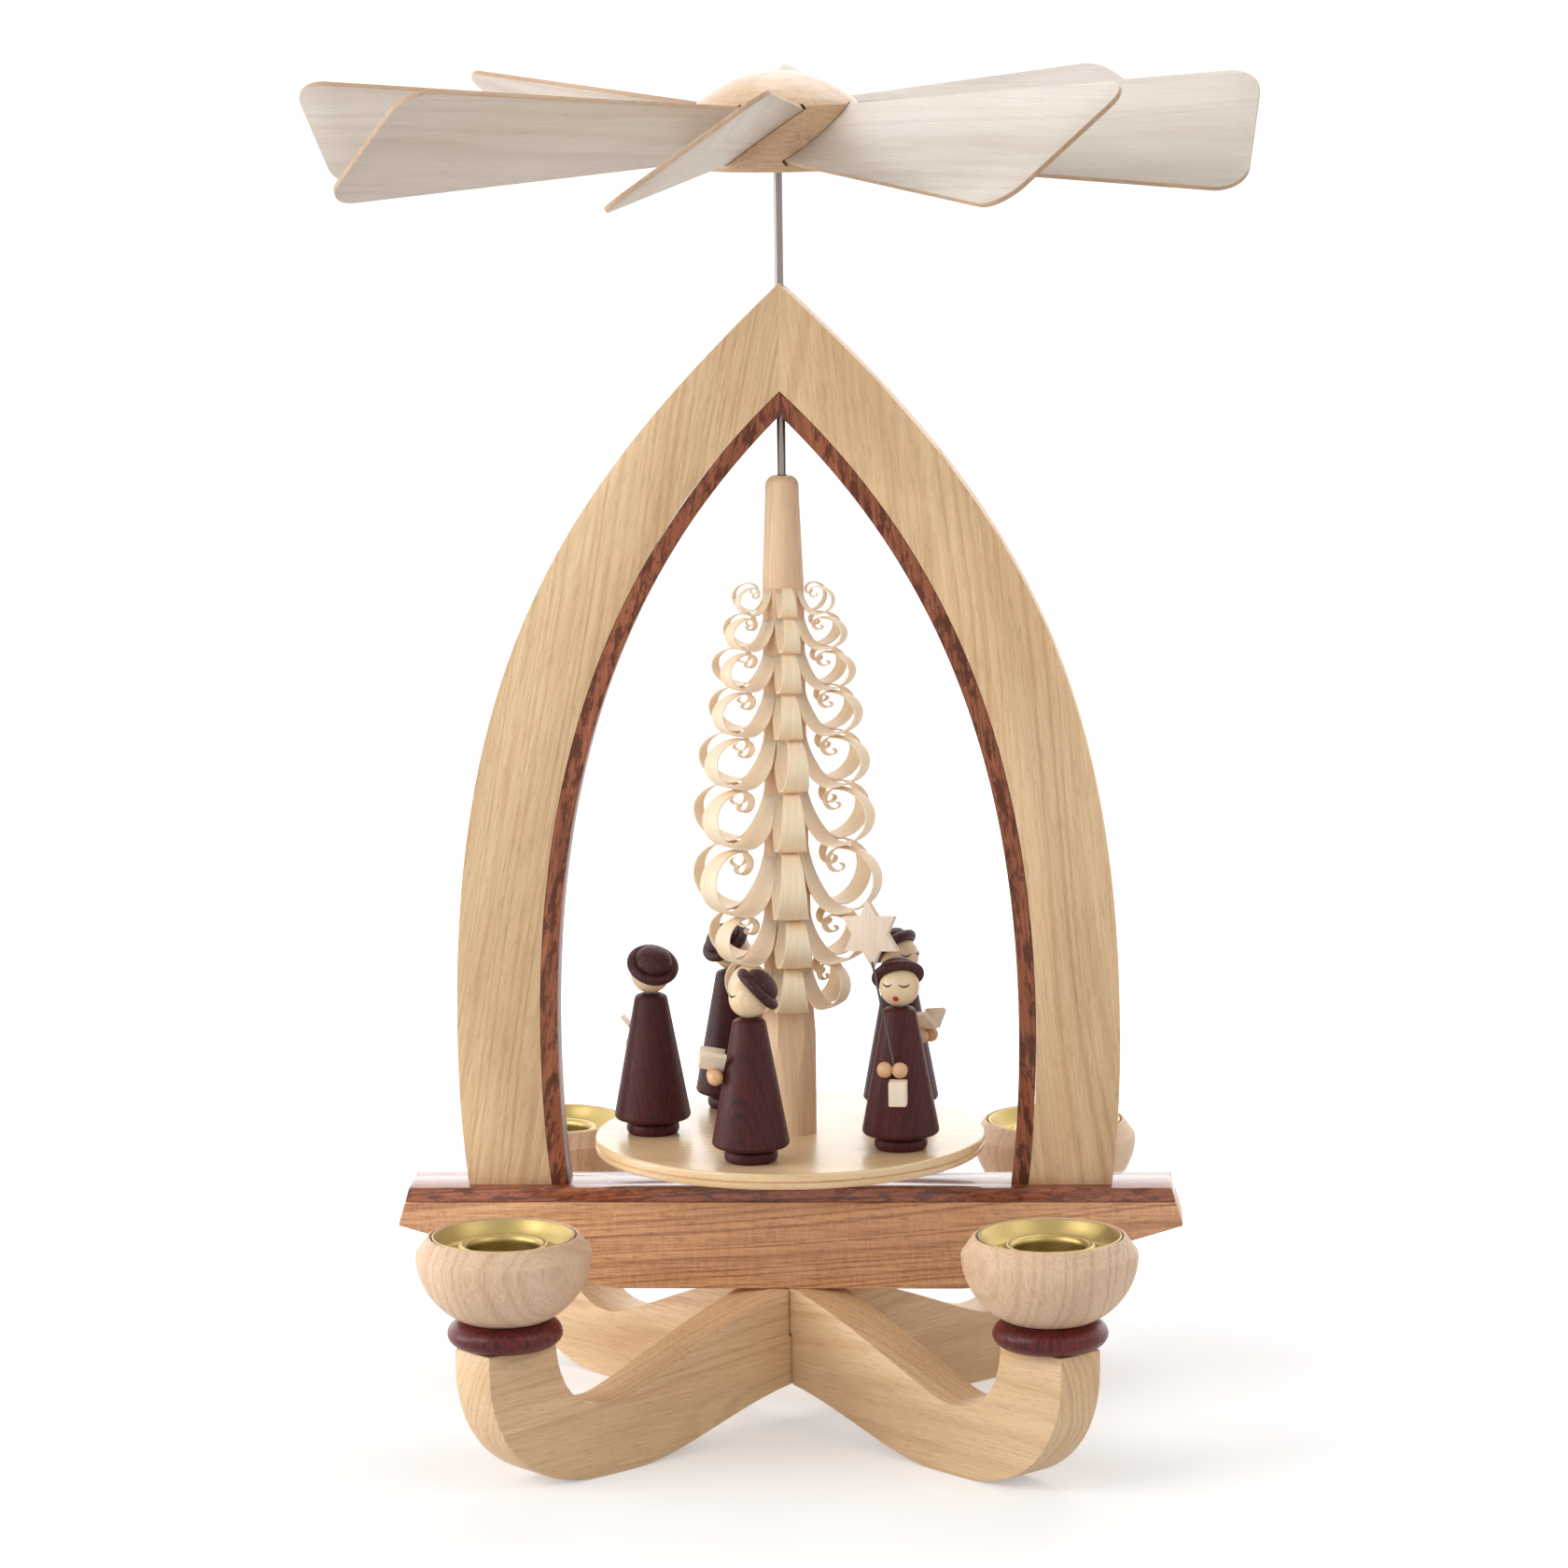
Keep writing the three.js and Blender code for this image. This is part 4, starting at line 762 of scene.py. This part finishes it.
top_row, top_height, growth, growing = 125.8 * mm, 7.2 * mm, 1.145, 7
top_width, full_width, full_reach, slimming = 4.6 * mm, 8.8 * mm, 22.5 * mm, 0.62 * mm
rows = []
bottom = top_row
for i in range(growing):
    below = growing - 1 - i
    row_height = top_height * growth**i
    if i:
        bottom -= row_height
    width = top_width + (full_width - top_width) * i / (growing - 1)
    rows.append((bottom, row_height, full_reach - slimming * below**1.55, width))
for row_height, reach, width in [(12 * mm, 19 * mm, 8.5 * mm), (11.3 * mm, 14.6 * mm, 8.2 * mm)]:
    bottom -= row_height
    rows.append((bottom, row_height, reach, width))
curls = []
for bottom, row_height, reach, width in rows:
    for column in range(columns):
        loose = lot.uniform(0.99, 1.06)
        trimmed = lot.uniform(0.35, 0.7) if bottom == top_row and column else lot.uniform(0.92, 1.02)
        sway = lot.uniform(-0.7, 0.7) * mm
        curl = shaving(bottom, row_height * lot.uniform(0.98, 1), reach * loose, width * trimmed, sway)
        paint(curl, stick_wood, shaving_wood, use=1)
        set_down(curl, spin(first_column + 360 * column / columns + lot.uniform(-2.5, 2.5)))
        curls.append(curl)
choose(tree_piece)
for curl in curls:
    curl.select_set(True)
bpy.ops.object.join()
set_down(tree_piece, shift(z=plate_top))
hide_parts("shaving_tree")
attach(tree_piece, "carousel")

# Wing wheel: a turned and domed beech hub with eight slanted saw cuts, and eight thin plywood wings
# glued into them, their sawn edges browner than their faces.
wheel_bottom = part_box("wing_hub")[0].z
hub_radius, hub_height, dome, blind_hole = 19 * mm, 16 * mm, 7 * mm, 10 * mm
wing_level = wheel_bottom + hub_height / 2 + 0.6 * mm
wing_count, wing_phase, wing_pitch = 8, -7.4, 34.8
wing_reach, root_chord, tip_chord = 112.05 * mm, 22.6 * mm, 46.4 * mm
wing_thick, wing_corner, slot_depth = 1.2 * mm, 9 * mm, 5 * mm

rim = wheel_bottom + hub_height
dome_half = hub_radius - 0.6 * mm
dome_sphere = (dome_half**2 + dome**2) / (2 * dome)
dome_angle = math.degrees(math.asin(dome_half / dome_sphere))
wheel_profile = [(0, wheel_bottom + blind_hole), (bore, wheel_bottom + blind_hole), (bore, wheel_bottom)]
wheel_profile += [(hub_radius - 0.6 * mm, wheel_bottom), (hub_radius - 0.15 * mm, wheel_bottom + 0.2 * mm)]
wheel_profile += [(hub_radius, wheel_bottom + 0.7 * mm), (hub_radius, rim - 0.7 * mm)]
wheel_profile += arc((0, rim + dome - dome_sphere), dome_sphere, 90 - dome_angle, 90, 16)
hub = turned_piece("turned_hub", wheel_profile, 96)


def wing_place(k):
    """Where wing number k sits, pitched about its own length."""
    pitched = spin(wing_phase + 360 * k / wing_count) @ spin(wing_pitch, "X")
    return shift(z=wing_level) @ pitched


for k in range(wing_count):
    saw_cut = block((2 * slot_depth, root_chord + 0.5 * mm, wing_thick + 0.3 * mm), (hub_radius, 0, 0))
    saw_cut.matrix_world = wing_place(k) @ saw_cut.matrix_world
    bpy.context.view_layer.update()
    cut_out(hub, saw_cut)
choose(hub)
bpy.ops.object.shade_smooth_by_angle(angle=math.radians(30))
keep_grain(hub, (0.4, 0.02, 0.01))
polished = {"lacquer": 0.35, "streaks": 0.35, "flecks": 0.2}
hub_wood = wood("hub_wood", (220, 184, 146), (188, 147, 110), 3 * mm, 0.4, 0.45, **polished)
paint(hub, hub_wood)
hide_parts("wing_hub")
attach(hub, "carousel")


def half_chord(x):
    """Half of a wing's width at that distance from the axis."""
    share = (x - hub_radius) / (wing_reach - hub_radius)
    return (root_chord + (tip_chord - root_chord) * share) / 2


wing_root = hub_radius - slot_depth + fit
round_pull = 0.5523
ease = wing_corner * (1 - round_pull)
tip, end = wing_reach - wing_corner, half_chord(wing_reach)
wing_half = [(wing_root, half_chord(wing_root)), (tip, half_chord(tip))]
bend(wing_half, (wing_reach - ease, end), (wing_reach, end - ease), (wing_reach, end - wing_corner), 10)
wing_outline = [(x, -z) for x, z in wing_half] + wing_half[::-1]
sanded = {"streaks": 0.18, "flecks": 0.08, "shine": 0.35}
wing_wood = wood("wing_wood", (231, 220, 209), (202, 187, 171), 4 * mm, 0.35, 0.5, **sanded)
edge_wood = wood("edge_wood", (208, 178, 148), (174, 140, 110), 1.5 * mm, 0.4, 0.6)
wing = sawn_board("wing", wing_outline, wing_thick)
soften(wing, 0.12 * mm)
paint(wing, wing_wood, edge_wood)
for face in wing.data.polygons:
    face.material_index = 0 if abs(face.normal.y) > 0.9 else 1
for k in range(wing_count):
    twin = copy_of(wing, "plywood_wing_" + str(k + 1))
    keep_grain(twin, (lot.random(), 0.02 * lot.random(), 0.04 * lot.random()))
    set_down(twin, wing_place(k) @ spin(-90, "X"))
    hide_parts("wing_" + str(k + 1))
    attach(twin, "carousel")
bpy.data.objects.remove(wing)

# Five carol singers: a turned and stained robe on its base, a ball for a head with closed eyes and a
# red mouth, a hat with a thick rolled brim, and two ball hands with an open song book between them.
singer_circle = 33 * mm
base_radius, base_height, hem_radius, shoulder_radius = 6.35 * mm, 3.6 * mm, 9.2 * mm, 4 * mm
base_round, hem_round, neck_radius = 0.9 * mm, 1.1 * mm, 1.9 * mm
head_height, head_radius, shoulder_drop = 39 * mm, 4.75 * mm, 1.6 * mm
shoulder = head_height - head_radius - shoulder_drop
seat = head_radius + fit
robe_middle = ((hem_radius + shoulder_radius) / 2, (base_height + shoulder) / 2 + 0.5 * mm)
base_bulge = 0.42 * base_height
robe_profile = [(0, 0), (base_radius - 0.7 * mm, 0)]
robe_profile += arc((base_radius - base_round, base_bulge), base_round, -60, 60, 7, base_bulge)
robe_profile += [(base_radius - 1.1 * mm, base_height - 0.15 * mm), (hem_radius - 1.2 * mm, base_height)]
robe_profile += arc((hem_radius - 1.15 * mm, base_height + hem_round), hem_round, -80, 5, 6)
robe_profile += [robe_middle]
robe_profile += arc((shoulder_radius - 1.5 * mm, shoulder), 1.5 * mm, 8, 70, 6, 1.4 * mm)
neck_angle = math.degrees(math.acos(neck_radius / seat))
robe_profile += arc((0, head_height), seat, -neck_angle, -90, 6)
robe = turned_piece("robe", robe_profile, 64)
dyed = {"streaks": 0.32, "flecks": 0.2, "shine": 0.2}
robe_wood = wood("robe_wood", (86, 35, 34), (46, 19, 23), 1.5 * mm, 0.35, 0.46, **dyed)
paint(robe, robe_wood)

head_wood = wood("head_wood", (242, 219, 184), (224, 195, 154), 1.4 * mm, 0.3, 0.45, lacquer=0.15)
eye_paint = bpy.data.materials.new("eye_paint")
mouth_paint = bpy.data.materials.new("mouth_paint")
for doll_paint, colour in [(eye_paint, shade(74, 48, 40)), (mouth_paint, shade(206, 44, 50))]:
    doll_paint.use_nodes = True
    tree = doll_paint.node_tree
    shader = tree.nodes["Principled BSDF"]
    lies = add(tree, "TexCoord").outputs["Object"]
    patch = add(tree, "TexNoise", {"Vector": lies, "Scale": 1500.0}).outputs[0]
    tree.links.new(blend(tree, patch, colour, dimmed(colour, 0.7)), shader.inputs["Base Color"])
    tree.links.new(ranged(tree, patch, 0.4, 0.6, (0, 1)), shader.inputs["Roughness"])


def on_head(side, up, radius):
    """A point over the face, by its angles in degrees from straight ahead."""
    side, up = math.radians(side), math.radians(up)
    return Vector((math.cos(up) * math.cos(side), math.cos(up) * math.sin(side), math.sin(up))) * radius


def ball(radius, segments, rings, place=(0, 0, 0)):
    """A small ball, as a turner sells them."""
    bpy.ops.object.select_all(action="DESELECT")
    bpy.ops.mesh.primitive_uv_sphere_add(segments=segments, ring_count=rings, radius=radius, location=place)
    bpy.ops.object.shade_smooth()
    return bpy.context.object


head = ball(head_radius, 40, 24)
keep_grain(head, (0.2, 0.004, 0.01), standing)
face_colours = (head_wood, eye_paint, mouth_paint)
paint(head, *face_colours)
eye_side, eye_half, eye_level, eye_curve, eye_dots = 27, 15.5, 8.5, 5.5, 9
dot_radius, dot_taper, mouth_radius, mouth_level = 0.26 * mm, 0.1 * mm, 0.78 * mm, -28.5
features = []
for side in (-eye_side, eye_side):
    for i in range(eye_dots):
        share = 2 * i / (eye_dots - 1) - 1
        up = eye_level + eye_curve * share * share
        spot = on_head(side + eye_half * share, up, head_radius - 0.02 * mm)
        features.append((ball(dot_radius - dot_taper * abs(share), 8, 6, spot), 1))
mouth = ball(mouth_radius, 20, 12)
spot = on_head(0, mouth_level, head_radius - 0.1 * mm)
turned_out = spot.to_track_quat("Z", "Y").to_matrix().to_4x4()
mouth.matrix_world = Matrix.Translation(spot) @ turned_out @ Matrix.Diagonal((1, 1, 0.3, 1))
features.append((mouth, 2))
for feature, paint_index in features:
    choose(feature)
    bpy.ops.object.transform_apply()
    paint(feature, *face_colours, use=paint_index)
choose(head)
for feature, paint_index in features:
    feature.select_set(True)
bpy.ops.object.join()

hat_radius, brim, brim_round, hat_seat = 6.3 * mm, 2.4 * mm, 1.25 * mm, 1.7 * mm
crown_radius, hat_height = 4.5 * mm, 5.5 * mm
hat_inside = math.degrees(math.asin(hat_seat / seat))
brim_middle = hat_seat + brim / 2
crown_start = brim_middle + 1.3 * mm
hat_profile = arc((0, 0), seat, 90, hat_inside, 8)
hat_profile += arc((hat_radius - brim_round, brim_middle), brim_round, -100, 120, 14, brim / 2)
hat_profile += [(crown_radius + 0.15 * mm, brim_middle + 0.75 * mm), (crown_radius, brim_middle + 0.9 * mm)]
hat_profile += arc((0, crown_start), crown_radius, 10, 90, 12, hat_seat + hat_height - crown_start)
hat = turned_piece("hat", hat_profile, 56)
dyed.update(streaks=0.6, shine=0.25)
hat_wood = wood("hat_wood", (84, 38, 36), (34, 16, 20), 1.5 * mm, 0.4, 0.5, **dyed)
paint(hat, hat_wood)

hand_radius, hand_height, palms_meet = 1.9 * mm, 20.5 * mm, 0.08 * mm
hand_spread = hand_radius - palms_meet


def robe_radius(level):
    """How thick a robe is at that level."""
    share = (level - base_height - mm) / (shoulder - base_height - mm)
    return hem_radius + (shoulder_radius - hem_radius) * share


hand_reach = math.sqrt((robe_radius(hand_height) + hand_radius + fit) ** 2 - hand_spread**2)
hands = None
hand_wood = wood("hand_wood", (232, 188, 146), (206, 156, 112), 1.2 * mm, 0.3, 0.45, lacquer=0.15)
page_wood = wood("page_wood", (246, 232, 212), (232, 212, 184), 1.6 * mm, 0.25, 0.5)
# The star's wood is the page wood painted a little darker: painted shade on a star that leans and turns
# from the light.
star_wood_painted_shade = wood("star_wood_painted_shade", (232, 213, 194), (214, 190, 166), 1.6 * mm, 0.25, 0.5)
for side in (-1, 1):
    hand = ball(hand_radius, 28, 16, (hand_reach, side * hand_spread, hand_height))
    bpy.ops.object.transform_apply()
    keep_grain(hand, (0.1 * side, 0.01, 0.01), spin(28.65 * side, "Y"))
    paint(hand, hand_wood, page_wood)
    if hands:
        hands.select_set(True)
        bpy.ops.object.join()
    hands = hand

book_length, leaf, leaf_thick, spine_half = 6 * mm, 5 * mm, 1.35 * mm, 0.95 * mm
leaf_slope, book_lean, book_sunk = math.radians(50), 10, 0.4 * mm
run, rise = math.cos(leaf_slope), math.sin(leaf_slope)
leaf_edge = (spine_half + leaf * run, leaf * rise)
leaf_inside = (leaf_edge[0] - leaf_thick * rise, leaf_edge[1] + leaf_thick * run)
fold = (0, leaf_inside[1] - leaf_inside[0] * rise / run)
book = sawn_board("song_book", both_sides([(spine_half, 0), leaf_edge, leaf_inside, fold]), book_length)
soften(book, 0.15 * mm)
keep_grain(book, (0.3, 0.01, 0.02), spin(-90))
book_rest = hand_height + hand_radius - book_sunk
to_back = hand_reach - robe_radius(book_rest) - fit
forwards = shift(book_length / 2 - to_back) @ spin(90)
set_down(book, shift(hand_reach, 0, book_rest) @ spin(-book_lean, "Y") @ forwards)
paint(book, hand_wood, page_wood, use=1)
hands_and_book = copy_of(hands, "hands_and_book")
choose(hands_and_book)
book.select_set(True)
bpy.ops.object.join()

lantern_width, lantern_height = 4.2 * mm, 5.9 * mm
lantern_top = hand_height - hand_radius - fit / 2
lantern_bottom = lantern_top - lantern_height
lantern_turn = math.radians(8)
lantern_half = lantern_width / 2 * (math.cos(lantern_turn) + math.sin(lantern_turn))
lantern_reach = robe_radius(lantern_bottom) + lantern_half + fit
lantern = block((lantern_width, lantern_width, lantern_height), (0, 0, 0))
lantern.name = "lantern"
bpy.ops.object.transform_apply()
soften(lantern, 0.35 * mm, 3)
keep_grain(lantern, (0.5, 0.01, 0), standing)
lantern_place = shift(lantern_reach, hand_spread, (lantern_top + lantern_bottom) / 2)
set_down(lantern, lantern_place @ Matrix.Rotation(lantern_turn, 4, "Z"))
paint(lantern, page_wood)

star_span, star_thick, star_points = 16.6 * mm, 1.6 * mm, 6
star_lean, star_turn, star_place = math.radians(4.5), -16, (-5.1 * mm, 32.3 * mm)
wire_radius = 0.3 * mm
star_outline = []
for i in range(2 * star_points):
    angle = math.pi * i / star_points + math.pi / 2 + star_lean
    reach = star_span / 2 * (math.tan(math.pi / star_points) if i % 2 else 1)
    star_outline.append((reach * math.cos(angle), reach * math.sin(angle)))
star = sawn_board("star", star_outline, star_thick)
soften(star, 0.18 * mm)
keep_grain(star, (0.1, 0.02, 0.01), standing)
before_wire = hand_reach - star_thick / 2 - 0.2 * mm
held = shift(before_wire, star_place[0], hand_height + star_place[1])
set_down(star, held @ spin(90 + star_turn))
paint(star, star_wood_painted_shade, dark_wire)
bpy.ops.curve.primitive_bezier_curve_add()
wire = bpy.context.object
wire_points = [(0.4 * mm, 1.2 * mm), (-0.8 * mm, 7 * mm), (-4.6 * mm, 25.8 * mm)]
spline = wire.data.splines[0]
spline.bezier_points.add(1)
for knot, (left, above) in zip(spline.bezier_points, wire_points):
    knot.co = (hand_reach, left, hand_height + above)
    knot.handle_left_type = knot.handle_right_type = "AUTO"
wire.data.bevel_depth, wire.data.bevel_resolution = wire_radius, 3
wire.data.use_fill_caps = True
choose(wire)
bpy.ops.object.convert(target="MESH")
bpy.ops.object.shade_smooth_by_angle(angle=math.radians(50))
keep_grain(wire)
paint(wire, star_wood_painted_shade, dark_wire, use=1)
choose(star)
wire.select_set(True)
bpy.ops.object.join()

# Place on the plate, heading, and how far the hat tips back and swings aside, in degrees.
singers = [
    ("star_singer", -34, -101, 40, 24),
    ("back_right_singer", 38, -40, 40, 6),
    ("back_left_singer", 118, 48, 40, -8),
    ("left_singer", 182, 113, 38, 0),
    ("front_left_singer", 257, 187, 46, 0),
]
for name, place, heading, hat_tilt, hat_swing in singers:
    stand = spin(place) @ shift(singer_circle, 0, plate_top) @ spin(heading - place)
    to_head = stand @ shift(z=head_height)
    tilted = spin(hat_swing) @ spin(-hat_tilt, "Y")
    parts = [
        (robe, "robe", stand, "robe_stain"),
        (head, "head", to_head, "pale_wood"),
        (hat, "hat", to_head @ tilted, "hat_stain"),
    ]
    if name == "star_singer":
        parts += [(hands, "hands", stand, "pale_wood"), (lantern, "lantern", stand, "pale_wood")]
        parts += [(star, "star_staff", stand, "pale_wood")]
    else:
        parts += [(hands_and_book, "hands_and_book", stand, "pale_wood")]
    for master, part, placing, slot in parts:
        twin = copy_of(master, "carved_" + name + "_" + part)
        if part in ("robe", "hat"):
            keep_grain(twin, (lot.random(), 0.01 * lot.random(), 0.01 * lot.random()), standing)
        set_down(twin, placing)
        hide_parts(name + "_" + part)
        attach(twin, "carousel")
for master in (robe, head, hat, hands, hands_and_book, lantern, star):
    bpy.data.objects.remove(master)
